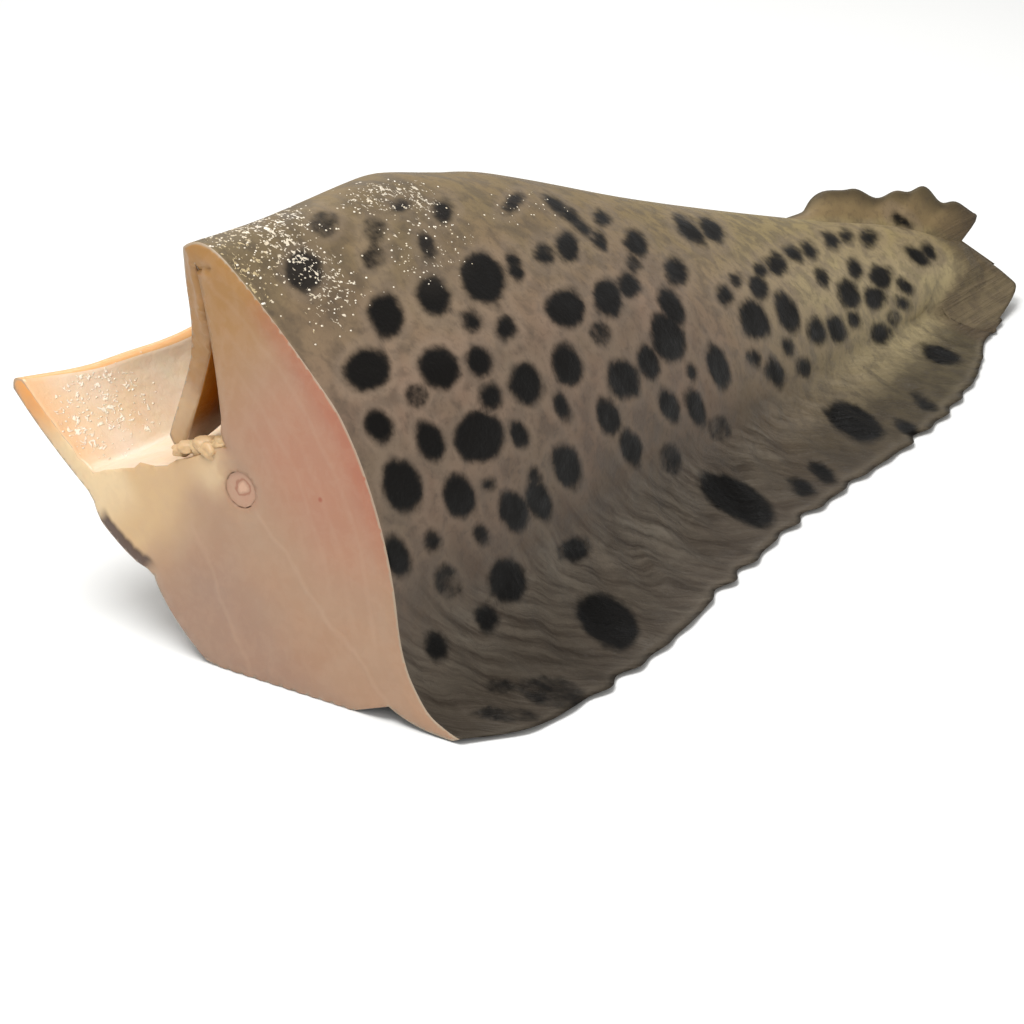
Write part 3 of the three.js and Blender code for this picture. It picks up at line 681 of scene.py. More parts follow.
# spots
# the spots as they lie in the photo: centre, width and height in its pixels, tilt in degrees, strength
spots = {
    "flank": [
        (304, 271, 36, 40), (325, 223, 26, 22, 20, 0.4), (399, 207, 17, 12), (443, 211, 20, 22),
        (374, 230, 20, 20, 20, 0.4), (374, 259, 20, 22, 20, 0.4), (427, 247, 17, 27), (386, 315, 36, 44),
        (433, 295, 34, 42), (483, 279, 42, 54), (512, 204, 22, 14, 40), (515, 267, 15, 29), (544, 254, 18, 22),
        (367, 370, 46, 42), (439, 368, 40, 44), (478, 361, 27, 32), (473, 322, 20, 22), (505, 329, 20, 24),
        (417, 395, 20, 20, 20, 0.4), (526, 385, 34, 42), (490, 397, 22, 27), (379, 426, 27, 34),
        (430, 441, 27, 40), (480, 438, 50, 50), (519, 434, 17, 27), (403, 487, 38, 54), (459, 496, 32, 44),
        (488, 484, 12, 14), (514, 511, 26, 40), (539, 500, 22, 40), (534, 476, 12, 18),
        (555, 205, 12, 28, 50), (572, 217, 12, 28, 50), (584, 228, 10, 20, 50), (567, 247, 21, 28),
        (600, 240, 12, 18), (601, 218, 14, 18, 35), (636, 244, 21, 28, 25), (633, 263, 14, 18),
        (690, 231, 17, 38, 45), (712, 230, 17, 31, 45), (565, 308, 38, 38), (608, 299, 28, 38),
        (629, 284, 21, 28), (676, 271, 21, 28), (671, 306, 21, 42, 28), (567, 365, 28, 45),
        (601, 334, 18, 22, 20, 0.4), (667, 337, 32, 52), (624, 379, 31, 42), (648, 362, 21, 35),
        (563, 407, 14, 28), (669, 405, 17, 35), (695, 407, 17, 38), (608, 417, 21, 35), (718, 367, 21, 45),
        (719, 428, 18, 24, 20, 0.4), (631, 448, 21, 38), (567, 467, 28, 45), (671, 459, 18, 30, 20, 0.4),
        (692, 372, 10, 14), (574, 549, 31, 24), (508, 581, 38, 42), (487, 619, 22, 26), (434, 542, 15, 18),
        (480, 534, 14, 22), (449, 582, 24, 34, 20, 0.4), (398, 557, 25, 45), (436, 646, 24, 28),
        # the last three are soft dark marks low at the front by the floor: painted shade in a fold there
        (553, 692, 30, 62, 80, 0.6), (500, 687, 26, 12, 0, 0.4), (505, 714, 14, 60, 85, 0.6),
    ],
    "fin": [
        (607, 621, 46, 68, 50), (737, 500, 35, 84, 60), (855, 422, 30, 62, 62), (940, 355, 16, 38, 70),
        (823, 473, 14, 30, 60), (803, 488, 14, 26, 60), (907, 428, 12, 24, 60), (924, 403, 12, 24, 60),
    ],
    "rear": [
        (754, 320, 28, 42), (787, 313, 21, 42), (758, 287, 17, 24), (737, 280, 10, 14), (725, 296, 14, 21),
        (777, 264, 16, 24, 40), (761, 271, 10, 14), (794, 254, 12, 18, 45), (810, 251, 12, 20, 45),
        (832, 241, 13, 20, 45), (846, 237, 10, 16, 45), (869, 238, 14, 18, 45), (817, 332, 17, 28),
        (837, 329, 17, 28), (855, 320, 12, 18), (849, 294, 21, 31, 30), (874, 297, 21, 24, 30),
        (881, 278, 24, 24, 30), (855, 268, 13, 20, 30), (823, 278, 10, 18, 30), (905, 287, 13, 18, 40),
        (903, 303, 12, 16, 40), (881, 334, 21, 21), (893, 318, 12, 12, 20, 0.4), (754, 358, 12, 18),
        (775, 372, 17, 31), (787, 346, 12, 18), (804, 367, 12, 18), (917, 256, 14, 26, 55),
        (902, 221, 10, 20, 50), (928, 251, 10, 16, 50),
    ],
    "tilt": 20, "pixel": 0.42,          # millimetres that a pixel spans on the flank
    "unseenCount": 260, "unseenSeed": 11, "unseenRadius": (8.5, 4.0), "unseenSpacing": 2.5,
}


# how deep inside a spot each point lies, in millimetres; negative outside
def spotField(places, normals, place, around):
    pixels, depth = pixelOf(places)
    facing = (normals @ towards)
    field = np.full(len(places), -30.0)
    seen = facing > 0.02
    for spot in spots["flank"] + spots["fin"] + spots["rear"]:
        x, y, width, height = spot[:4]
        tilt = math.radians(spot[4] if len(spot) > 4 else spots["tilt"])
        strength = spot[5] if len(spot) > 5 else 1
        rel = pixels - (x, y)
        longways = rel @ (math.sin(tilt), math.cos(tilt))
        across = rel @ (math.cos(tilt), -math.sin(tilt))
        d = np.hypot(longways / (height / 2), across / (width / 2))
        size = math.sqrt(width * height) / 2 * spots["pixel"]
        value = (1 - d) * size
        if strength < 1:
            value = np.minimum(value, 0.2)
        field = np.where(seen, np.maximum(field, value), field)
    return field, seen


# the sides that the photo doesn't show get spots of the same kind
def unseenSpots(places, field, seen, place, skinIds):
    rng = random.Random(spots["unseenSeed"])
    chosen = []
    hidden = [i for i in skinIds if not seen[i]]
    big, small = spots["unseenRadius"]
    for _ in range(4000):
        i = rng.choice(hidden)
        radius = lerp(big, small, min(place[i], 1)) * rng.uniform(0.7, 1.2) * mm
        centre = places[i]
        if all(np.linalg.norm(centre - c) > (radius + r) * 1.25 + spots["unseenSpacing"] * mm for c, r in chosen):
            chosen.append((centre, radius))
        if len(chosen) >= spots["unseenCount"]:
            break
    for centre, radius in chosen:
        rel = places - centre
        d = np.sqrt((rel[:, 0] * 0.85) ** 2 + (rel[:, 1] * 1.1) ** 2 + (rel[:, 2] * 1.1) ** 2)
        value = (radius - d) / mm
        field = np.where(seen, field, np.maximum(field, value))
    return field


places, normals = vertexPlaces(carcassMesh), vertexNormals(carcassMesh)
skinIds = sorted({v for polygon, slot in zip(polygons, polygonSlots) if slot == 0 for v in polygon})
field, seen = spotField(places, normals, fields["place"], fields["around"])
field = unseenSpots(places, field, seen, fields["place"], skinIds)
keep(carcassMesh, "spot", field)
for name in ("around", "finShare", "place", "section", "rim"):
    keep(carcassMesh, name, fields[name])
print("spots ready")

# the wet shoulder and the places where the light catches slime, in the photo's pixels
wet = {
    "patches": [(265, 245, 90, 66), (390, 200, 70, 28), (330, 290, 45, 60), (430, 250, 60, 60),
                (250, 300, 40, 60), (520, 210, 60, 30)],
    "strengths": [0.95, 0.9, 0.85, 0.6, 0.9, 0.45],
    "liningPatch": (105, 412, 62, 56), "liningStrength": 0.8,
}


def wetField(places, normals):
    pixels, _ = pixelOf(places)
    value = np.zeros(len(places))
    for (x, y, width, height), strength in zip(wet["patches"], wet["strengths"]):
        d = np.hypot((pixels[:, 0] - x) / width, (pixels[:, 1] - y) / height)
        value = np.maximum(value, strength * smooth(1.15 - d, 0, 0.8))
    d = np.hypot((pixels[:, 0] - wet["liningPatch"][0]) / wet["liningPatch"][2],
                 (pixels[:, 1] - wet["liningPatch"][1]) / wet["liningPatch"][3])
    onLining = wet["liningStrength"] * smooth(1.2 - d, 0, 0.7)
    value = np.where(isOf("skin"), value, np.where(isOf("lining"), onLining, 0))
    return np.where(normals @ towards > 0, value, 0)


# whether each point belongs to faces of this finish alone
def isOf(slotName):
    own, others = np.zeros(len(places), bool), np.zeros(len(places), bool)
    for polygon, slot in zip(polygons, polygonSlots):
        (own if slot == slotNames.index(slotName) else others)[polygon] = True
    return own & ~others


keep(carcassMesh, "wet", wetField(places, normals))

# node helpers


def paint(r, g, b):
    def linear(c):
        c /= 255
        return c / 12.92 if c <= 0.04045 else ((c + 0.055) / 1.055) ** 2.4
    return linear(r), linear(g), linear(b), 1


def add(tree, kind, inputs=None, **settings):
    made = tree.nodes.new("ShaderNode" + kind)
    for key, value in settings.items():
        setattr(made, key, value)
    for key, value in (inputs or {}).items():
        if isinstance(value, bpy.types.NodeSocket):
            tree.links.new(value, made.inputs[key])
        else:
            made.inputs[key].default_value = value
    return made


def calc(tree, operation, a, b=0.0, clamp=False):
    return add(tree, "Math", {0: a, 1: b}, operation=operation, use_clamp=clamp).outputs[0]


def band(tree, value, low, high, toLow=0.0, toHigh=1.0):
    made = add(tree, "MapRange", {"Value": value, "From Min": low, "From Max": high, "To Min": toLow,
                                  "To Max": toHigh}, interpolation_type="SMOOTHSTEP")
    return made.outputs["Result"]


def blendColor(tree, factor, a, b, kind="MIX"):
    made = add(tree, "Mix", {0: factor, 6: a, 7: b}, data_type="RGBA", blend_type=kind)
    return made.outputs[2]


def grain(tree, vector, scale, detail=2.0, roughness=0.5, distortion=0.0):
    made = add(tree, "TexNoise", {"Vector": vector, "Scale": scale, "Detail": detail, "Roughness": roughness,
                                  "Distortion": distortion})
    return made.outputs["Fac"]


def attribute(tree, name, output="Fac"):
    return add(tree, "Attribute", attribute_name=name).outputs[output]


def objectPlace(tree):
    return add(tree, "TexCoord").outputs["Object"]


def newGroup(name, inputs, outputs):
    group = bpy.data.node_groups.new(name, "ShaderNodeTree")
    for socketName, kind, value in inputs:
        socket = group.interface.new_socket(socketName, in_out="INPUT", socket_type="NodeSocket" + kind)
        if value is not None:
            socket.default_value = value
    for socketName, kind in outputs:
        group.interface.new_socket(socketName, in_out="OUTPUT", socket_type="NodeSocket" + kind)
    return group, group.nodes.new("NodeGroupInput").outputs, group.nodes.new("NodeGroupOutput").inputs


def useGroup(tree, group, inputs):
    made = add(tree, "Group", node_tree=group)
    for key, value in inputs.items():
        if isinstance(value, bpy.types.NodeSocket):
            tree.links.new(value, made.inputs[key])
        else:
            made.inputs[key].default_value = value
    return made.outputs


# soft uneven cloudiness, from 0 to 1
def makeCloudiness():
    group, inputs, outputs = newGroup("cloudiness", [("Place", "Vector", None), ("Size", "Float", 0.03),
                                                     ("Contrast", "Float", 1.0)], [("Value", "Float")])
    scale = calc(group, "DIVIDE", 1.0, inputs["Size"])
    big = grain(group, inputs["Place"], scale, 3, 0.55, 0.4)
    centred = calc(group, "SUBTRACT", big, 0.5)
    strong = calc(group, "MULTIPLY", centred, calc(group, "MULTIPLY", inputs["Contrast"], 2.2))
    group.links.new(calc(group, "ADD", strong, 0.5, clamp=True), outputs["Value"])
    return group


# small wet specks and painted highlights: irregular bright specks, thicker where Wetness is high
def makeWetSpecksAndGlints():
    group, inputs, outputs = newGroup("wetSpecksAndGlints", [("Place", "Vector", None), ("Wetness", "Float", 0.5),
                                                    ("Size", "Float", 0.002)], [("Mask", "Float"),
                                                                               ("Height", "Float")])
    scale = calc(group, "DIVIDE", 1.0, inputs["Size"])
    warped = grain(group, inputs["Place"], scale, 2.5, 0.65, 0.5)
    loose = grain(group, inputs["Place"], calc(group, "MULTIPLY", scale, 0.17), 2, 0.5)
    level = calc(group, "ADD", warped, calc(group, "MULTIPLY", calc(group, "SUBTRACT", loose, 0.5), 0.35))
    limit = calc(group, "SUBTRACT", 0.82, calc(group, "MULTIPLY", inputs["Wetness"], 0.24))
    over = calc(group, "SUBTRACT", level, limit)
    group.links.new(band(group, over, 0.0, 0.035), outputs["Mask"])
    group.links.new(band(group, over, -0.02, 0.08), outputs["Height"])
    return group


# fine lines that run along the second number of Place
def makeStreaks():
    group, inputs, outputs = newGroup("streaks", [("Across", "Float", 0.0), ("Along", "Float", 0.0),
                                                  ("Fineness", "Float", 1.0)], [("Value", "Float")])
    vector = add(group, "CombineXYZ", {0: calc(group, "MULTIPLY", inputs["Across"], inputs["Fineness"]),
                                       1: inputs["Along"]}).outputs[0]
    fine = grain(group, vector, 1.0, 4, 0.6, 0.3)
    group.links.new(fine, outputs["Value"])
    return group


cloudiness, wetSpecksAndGlints, streaks = makeCloudiness(), makeWetSpecksAndGlints(), makeStreaks()


def newMaterial(name):
    material = bpy.data.materials.new(name)
    material.use_nodes = True
    tree = material.node_tree
    tree.nodes.clear()
    shader = add(tree, "BsdfPrincipled")
    tree.links.new(shader.outputs[0], add(tree, "OutputMaterial").inputs[0])
    return material, tree, shader


def bump(tree, height, strength, distance, normal=None):
    made = add(tree, "Bump", {"Height": height, "Strength": strength, "Distance": distance})
    if normal is not None:
        tree.links.new(normal, made.inputs["Normal"])
    return made.outputs[0]


# skin
skinFinish = {
    # low: a dark tone for the mottling, also used for painted shade low on the flank
    "net": paint(115, 99, 82), "netWarm": paint(127, 105, 88), "low": paint(66, 58, 51),
    "olive": paint(126, 109, 70), "tail": paint(168, 152, 114), "finPale": paint(112, 103, 90),
    "tailFin": paint(92, 78, 61), "tailRay": paint(60, 50, 38), "bellyFin": paint(124, 104, 74),
    "finDark": paint(32, 26, 18), "dark": paint(6, 5, 4), "halo": paint(136, 119, 102),
    # the glint colours are painted highlights of slime
    "paintedGlint": paint(244, 230, 206), "yellowPaintedGlint": paint(206, 184, 140), "roughness": 0.42,
    "milk": paint(142, 134, 120),
    "rayLine": 6.5, "rayLean": 0.2,   # millimetres between the finer lines of the fins; how they lean back
}


def makeSkin():
    material, tree, shader = newMaterial("wolffishSkin")
    where = objectPlace(tree)
    around, place = attribute(tree, "around"), attribute(tree, "place")
    share, spot, wetness = attribute(tree, "finShare"), attribute(tree, "spot"), attribute(tree, "wet")
    cloud = useGroup(tree, cloudiness, {"Place": where, "Size": 0.04, "Contrast": 1.2})["Value"]
    patchy = useGroup(tree, cloudiness, {"Place": where, "Size": 0.012, "Contrast": 1.3})["Value"]
    freckled = useGroup(tree, cloudiness, {"Place": where, "Size": 0.0035, "Contrast": 1.2})["Value"]
    color = blendColor(tree, cloud, skinFinish["net"], skinFinish["netWarm"])
    # olive towards the tail and the top
    color = blendColor(tree, band(tree, place, 0.4, 0.85), color, skinFinish["tail"])
    oliveTop = calc(tree, "MULTIPLY", band(tree, around, 100, 60), 0.6)
    color = blendColor(tree, oliveTop, color, skinFinish["olive"])
    # painted shade: greyer and darker down the flank towards the back fin, near the floor, most at the front
    paintedLowShade = calc(tree, "MULTIPLY", band(tree, around, 104, 165), band(tree, place, 0.85, 0.3, 0.1, 0.8))
    color = blendColor(tree, paintedLowShade, color, skinFinish["low"])
    color = blendColor(tree, calc(tree, "MULTIPLY", band(tree, patchy, 0.75, 0.1), 0.42), color,
                       skinFinish["low"])
    # the fins: soft lines along the rays, darker to the edge
    warp = calc(tree, "MULTIPLY", calc(tree, "SUBTRACT", grain(tree, where, 22, 2, 0.5), 0.5), 5.0)
    across = calc(tree, "ADD", calc(tree, "MULTIPLY", place, fish["fleshLength"] / skinFinish["rayLine"]), warp)
    lean = calc(tree, "MULTIPLY", calc(tree, "SUBTRACT", around, 120.0), skinFinish["rayLean"])
    across = calc(tree, "SUBTRACT", across, lean)
    line = useGroup(tree, streaks, {"Across": across, "Along": calc(tree, "MULTIPLY", around, 0.045),
                                    "Fineness": 1.0})["Value"]
    milky = useGroup(tree, streaks, {"Across": calc(tree, "MULTIPLY", across, 0.3), "Fineness": 1.0,
                     "Along": calc(tree, "MULTIPLY", around, 0.03)})["Value"]
    finColor = blendColor(tree, band(tree, line, 0.25, 0.7), skinFinish["finDark"], skinFinish["finPale"])
    finColor = blendColor(tree, calc(tree, "MULTIPLY", band(tree, milky, 0.5, 0.72), 0.55), finColor,
                          skinFinish["milk"])
    finColor = blendColor(tree, band(tree, place, 0.45, 0.85, 0.3, 0.8), finColor, color)
    finColor = blendColor(tree, calc(tree, "MULTIPLY", band(tree, share, 0.25, 0.75), band(tree, place, 0.3,
                          0.75, 0.45, 0.95)), finColor, skinFinish["finDark"])
    # painted light: the fin's very edge is lightened against the shade it lies in
    finColor = blendColor(tree, calc(tree, "MULTIPLY", band(tree, share, 0.9, 1.0), 0.5), finColor,
                          skinFinish["finPale"])
    color = blendColor(tree, calc(tree, "MULTIPLY", band(tree, around, 128, 168), 0.85), color, finColor)
    # painted shade: the low edge of the back next to the cut is darkened where it meets the floor
    paintedShadeNearCut = calc(tree, "MULTIPLY", band(tree, around, 150, 185), band(tree, place, 0.28, 0.1))
    color = blendColor(tree, calc(tree, "MULTIPLY", paintedShadeNearCut, 0.4), color, skinFinish["finDark"])
    raggedFin = blendColor(tree, band(tree, around, -18, -40), skinFinish["bellyFin"], skinFinish["tailRay"])
    color = blendColor(tree, calc(tree, "MULTIPLY", band(tree, around, -1, -14), 0.8), color, raggedFin)
    # the tail fin's own rays run on along the body
    tailAcross = add(tree, "SeparateXYZ", {0: where})
    tailLine = useGroup(tree, streaks, {"Across": calc(tree, "ADD", calc(tree, "MULTIPLY", tailAcross.outputs[2],
                        210.0), calc(tree, "MULTIPLY", tailAcross.outputs[1], 160.0)),
                        "Along": calc(tree, "MULTIPLY", place, 30.0), "Fineness": 1.6})["Value"]
    tailFin = band(tree, place, 0.965, 1.005)
    tailColor = blendColor(tree, band(tree, tailLine, 0.2, 0.75), skinFinish["tailRay"], skinFinish["tailFin"])
    color = blendColor(tree, calc(tree, "MULTIPLY", tailFin, 0.8), color, tailColor)
    # spots: nearly black in the middle, soft at the edge, with a paler ring between them
    wobble = calc(tree, "MULTIPLY", calc(tree, "SUBTRACT", grain(tree, where, 190, 3, 0.55), 0.5), 2.6)
    fineWobble = calc(tree, "MULTIPLY", calc(tree, "SUBTRACT", freckled, 0.5), 0.8)
    fineWobble = calc(tree, "ADD", fineWobble, calc(tree, "MULTIPLY", calc(tree, "SUBTRACT",
                      grain(tree, where, 70, 1, 0.5), 0.5), 4.0))
    spotEdge = calc(tree, "ADD", calc(tree, "ADD", spot, wobble), fineWobble)
    ring = calc(tree, "MULTIPLY", band(tree, spotEdge, -6.5, -2.4), band(tree, around, 165, 110, 0.02, 0.3))
    color = blendColor(tree, ring, color, skinFinish["halo"])
    color = blendColor(tree, calc(tree, "MULTIPLY", band(tree, freckled, 0.5, 0.0), 0.22), color,
                       skinFinish["low"])
    mask = calc(tree, "ADD", calc(tree, "MULTIPLY", band(tree, spotEdge, -2.4, 1.1), 0.78),
                calc(tree, "MULTIPLY", band(tree, spotEdge, -0.8, 2.2), 0.21))
    color = blendColor(tree, mask, color, skinFinish["dark"])
    # painted highlights: bright specks where the light catches the slime, yellowish ones along the cut, also
    # glossier and raised; the wet patches are darker
    specks = useGroup(tree, wetSpecksAndGlints, {"Place": where, "Size": 0.0026,
                     "Wetness": calc(tree, "MULTIPLY", wetness, 1.12)})
    color = blendColor(tree, calc(tree, "MULTIPLY", band(tree, wetness, 0.1, 0.9), 0.3), color,
                       skinFinish["low"])
    wetAndGlintMask = calc(tree, "MULTIPLY", specks["Mask"], band(tree, wetness, 0.02, 0.3))
    paintedGlint = blendColor(tree, band(tree, place, 0.06, 0.02), skinFinish["paintedGlint"], skinFinish["yellowPaintedGlint"])
    color = blendColor(tree, calc(tree, "MULTIPLY", wetAndGlintMask, 0.75), color, paintedGlint)
    tree.links.new(color, shader.inputs["Base Color"])
    rough = calc(tree, "ADD", calc(tree, "MULTIPLY", patchy, 0.2), skinFinish["roughness"])
    tree.links.new(calc(tree, "SUBTRACT", rough, calc(tree, "MULTIPLY", wetAndGlintMask, 0.25)),
                   shader.inputs["Roughness"])
    shader.inputs["Specular IOR Level"].default_value = 0.12
    tree.links.new(calc(tree, "MULTIPLY", wetAndGlintMask, 0.5), shader.inputs["Coat Weight"])
    shader.inputs["Coat Roughness"].default_value = 0.2
    leather = add(tree, "TexVoronoi", {"Vector": where, "Scale": 420}, feature="SMOOTH_F1").outputs["Distance"]
    height = calc(tree, "ADD", calc(tree, "MULTIPLY", grain(tree, where, 700, 3, 0.6), 0.5),
                  calc(tree, "MULTIPLY", leather, 0.35))
    height = calc(tree, "ADD", height, calc(tree, "MULTIPLY", wetAndGlintMask, 1.2))
    normal = bump(tree, height, 0.5, 0.0006)
    ribs = calc(tree, "MULTIPLY", line, band(tree, around, 140, 165))
    ribs = calc(tree, "ADD", ribs, calc(tree, "MULTIPLY", tailLine, tailFin))
    tree.links.new(bump(tree, ribs, 0.8, 0.002, normal), shader.inputs["Normal"])
    return material


# flesh of the head cut
fleshFinish = {
    "pale": paint(160, 132, 108), "warm": paint(160, 122, 94), "pink": paint(166, 108, 84),
    "cream": paint(196, 164, 122), "mauve": paint(140, 112, 98), "line": paint(178, 148, 124),
    "edge": paint(214, 188, 148), "tip": paint(212, 150, 88),
    "rim": paint(160, 146, 126), "red": paint(152, 80, 60), "loose": paint(84, 62, 48),
    "tan": paint(154, 114, 66),
    # faint layers that follow the near skin: depth under it and width in millimetres, strength
    "layers": [(13, 2.2, 0.13), (24, 2.6, 0.1), (33, 2.2, 0.12), (43, 2.8, 0.08)],
}


def sectionPlace(tree):
    vector = add(tree, "Attribute", attribute_name="section").outputs["Vector"]
    separate = add(tree, "SeparateXYZ", {0: vector})
    return vector, separate.outputs[0], separate.outputs[1]


# a soft line at a given value of something that varies over the surface
def lineAt(tree, value, at, width):
    return band(tree, calc(tree, "ABSOLUTE", calc(tree, "SUBTRACT", value, at)), width, 0.0)


def spotAt(tree, vector, at, radius, soft):
    rel = add(tree, "VectorMath", {0: vector, 1: (at[0], at[1], 0)}, operation="SUBTRACT").outputs[0]
    length = add(tree, "VectorMath", {0: rel}, operation="LENGTH").outputs["Value"]
    return band(tree, length, radius + soft, radius - soft)


def makeFlesh():
    material, tree, shader = newMaterial("cutFlesh")
    where = objectPlace(tree)
    vector, up, side = sectionPlace(tree)
    rim = attribute(tree, "rim")
    jitter = add(tree, "TexNoise", {"Vector": vector, "Scale": 0.05, "Detail": 3.0}).outputs["Color"]
    shift = add(tree, "VectorMath", {0: jitter, 1: (0.5, 0.5, 0.5)}, operation="SUBTRACT").outputs[0]
    shift = add(tree, "VectorMath", {0: shift, "Scale": 12.0}, operation="SCALE").outputs[0]
    wavy = add(tree, "VectorMath", {0: vector, 1: shift}, operation="ADD").outputs[0]
    wavyParts = add(tree, "SeparateXYZ", {0: wavy})
    wavyUp, wavySide = wavyParts.outputs[0], wavyParts.outputs[1]
    cloud = useGroup(tree, cloudiness, {"Place": where, "Size": 0.05, "Contrast": 0.9})["Value"]
    fibres = useGroup(tree, cloudiness, {"Place": where, "Size": 0.006, "Contrast": 0.8})["Value"]
    color = blendColor(tree, cloud, fleshFinish["pale"], fleshFinish["warm"])
    # pinker on the near side under the backbone's level, mauve and then cream on the far side
    pink = calc(tree, "MULTIPLY", band(tree, wavySide, 0.0, 34.0), band(tree, wavyUp, 84.0, 30.0))
    pink = calc(tree, "MULTIPLY", pink, band(tree, wavyUp, -40.0, 6.0))
    color = blendColor(tree, calc(tree, "MULTIPLY", pink, 0.6), color, fleshFinish["pink"])
    color = blendColor(tree, calc(tree, "MULTIPLY", band(tree, wavySide, -8.0, -44.0), band(tree,
                       wavyUp, -6.0, 26.0, 0.0, 0.5)), color,
                       fleshFinish["mauve"])
    creamy = calc(tree, "MULTIPLY", band(tree, wavySide, -10.0, -50.0), band(tree, wavyUp, 10.0, -26.0))
    creamy = calc(tree, "MAXIMUM", creamy, calc(tree, "MULTIPLY", band(tree, wavySide, -56.0, -66.0),
                                                band(tree, wavyUp, 2.0, -16.0)))
    color = blendColor(tree, creamy, color, fleshFinish["cream"])
    # tan near the belly's opening, stronger lower down: the flesh's own tan, and painted shade deepening into the
    # hole
    color = blendColor(tree, calc(tree, "MULTIPLY", band(tree, wavyUp, -16.0, -66.0), band(tree, wavySide, -6.0,
                       8.0)), color, fleshFinish["tan"])
    underLining = calc(tree, "MULTIPLY", band(tree, wavyUp, -8.0, -22.0), band(tree, wavySide, 8.0, -10.0))
    color = blendColor(tree, calc(tree, "MULTIPLY", underLining, 0.7), color, fleshFinish["cream"])
    flap = calc(tree, "MULTIPLY", band(tree, side, -46.0, -58.0), band(tree, up, -18.0, -40.0))
    color = blendColor(tree, flap, color, fleshFinish["edge"])
    color = blendColor(tree, calc(tree, "MULTIPLY", flap, band(tree, wavyUp, -66.0, -94.0)), color,
                       fleshFinish["tip"])
    color = blendColor(tree, calc(tree, "MULTIPLY", spotAt(tree, wavy, (-13, -6), 9.0, 7.0), 0.6), color,
                       fleshFinish["edge"])
    lines = None
    depth = calc(tree, "ADD", rim, calc(tree, "MULTIPLY", calc(tree, "SUBTRACT", cloud, 0.5), 7.0))
    nearOnly = band(tree, side, 2.0, 18.0)
    for at, width, strength in fleshFinish["layers"]:
        one = calc(tree, "MULTIPLY", lineAt(tree, depth, at, width), strength)
        lines = one if lines is None else calc(tree, "MAXIMUM", lines, one)
    lines = calc(tree, "MULTIPLY", lines, nearOnly)
    septum = calc(tree, "MULTIPLY", lineAt(tree, wavySide, 1.0, 2.2), band(tree, up, 9.0, 15.0))
    lines = calc(tree, "MAXIMUM", lines, calc(tree, "MULTIPLY", septum, 0.26))
    farLine = calc(tree, "MULTIPLY", lineAt(tree, calc(tree, "ADD", wavySide, calc(tree, "MULTIPLY", wavyUp,
                   0.35)), -34.0, 2.4), band(tree, wavyUp, -16.0, 4.0))
    lines = calc(tree, "MAXIMUM", lines, calc(tree, "MULTIPLY", farLine, 0.2))
    color = blendColor(tree, lines, color, fleshFinish["line"])
    # red muscle along the near skin, a blood spot and the round the vertebra
    redness = calc(tree, "MULTIPLY", band(tree, rim, 13.0, 2.0), band(tree, side, 34.0, 60.0))
    redness = calc(tree, "MULTIPLY", redness, band(tree, up, -62.0, -38.0))
    color = blendColor(tree, calc(tree, "MULTIPLY", redness, 0.42), color, fleshFinish["red"])
    color = blendColor(tree, calc(tree, "MULTIPLY", spotAt(tree, vector, (26, 36), 1.0, 0.6), 0.8), color,
                       fleshFinish["red"])
    color = blendColor(tree, calc(tree, "MULTIPLY", spotAt(tree, wavy, (0, 0), 9.5, 1.6), 0.2), color,
                       fleshFinish["pink"])
    color = blendColor(tree, calc(tree, "MULTIPLY", spotAt(tree, wavy, (-12, 0.5), 4.2, 1.6), 0.3), color,
                       fleshFinish["warm"])
    color = blendColor(tree, calc(tree, "MULTIPLY", band(tree, fibres, 0.35, 0.75), 0.12), color,
                       fleshFinish["line"])
    # skin edge; the loose lip on the far side shows the skin's brown inside
    looseSkin = calc(tree, "MULTIPLY", band(tree, rim, 8.5, 5.5), band(tree, side, -60.0, -66.0))
    looseSkin = calc(tree, "MULTIPLY", looseSkin, band(tree, lineAt(tree, up, -18.0, 24.0), 0.1, 0.5))
    color = blendColor(tree, looseSkin, color, fleshFinish["loose"])
    color = blendColor(tree, calc(tree, "MULTIPLY", band(tree, rim, 1.6, 0.5), 0.8), color, fleshFinish["rim"])
    tree.links.new(color, shader.inputs["Base Color"])
    shader.inputs["Roughness"].default_value = 0.42
    shader.inputs["Specular IOR Level"].default_value = 0.3
    shader.inputs["Subsurface Weight"].default_value = 0.15
    shader.inputs["Subsurface Radius"].default_value = (0.008, 0.004, 0.0025)
    shader.inputs["Subsurface Scale"].default_value = 0.5
    shader.inputs["Coat Weight"].default_value = 0.08
    shader.inputs["Coat Roughness"].default_value = 0.22
    height = calc(tree, "ADD", calc(tree, "MULTIPLY", grain(tree, where, 420, 3, 0.6), 0.4), lines)
    tree.links.new(bump(tree, height, 0.5, 0.0005), shader.inputs["Normal"])
    return material


# lining of the belly
liningFinish = {
    "pale": paint(224, 207, 182), "peach": paint(219, 190, 154), "pink": paint(221, 194, 178),
    # the golden brown is painted shade inside the hole, the palest colour a painted highlight
    "deep": paint(178, 104, 12), "tan": paint(156, 116, 62), "wetness": 0.32, "paintedGlint": paint(255, 248, 232),
    "orange": paint(220, 168, 114), "coat": 0.3,
}


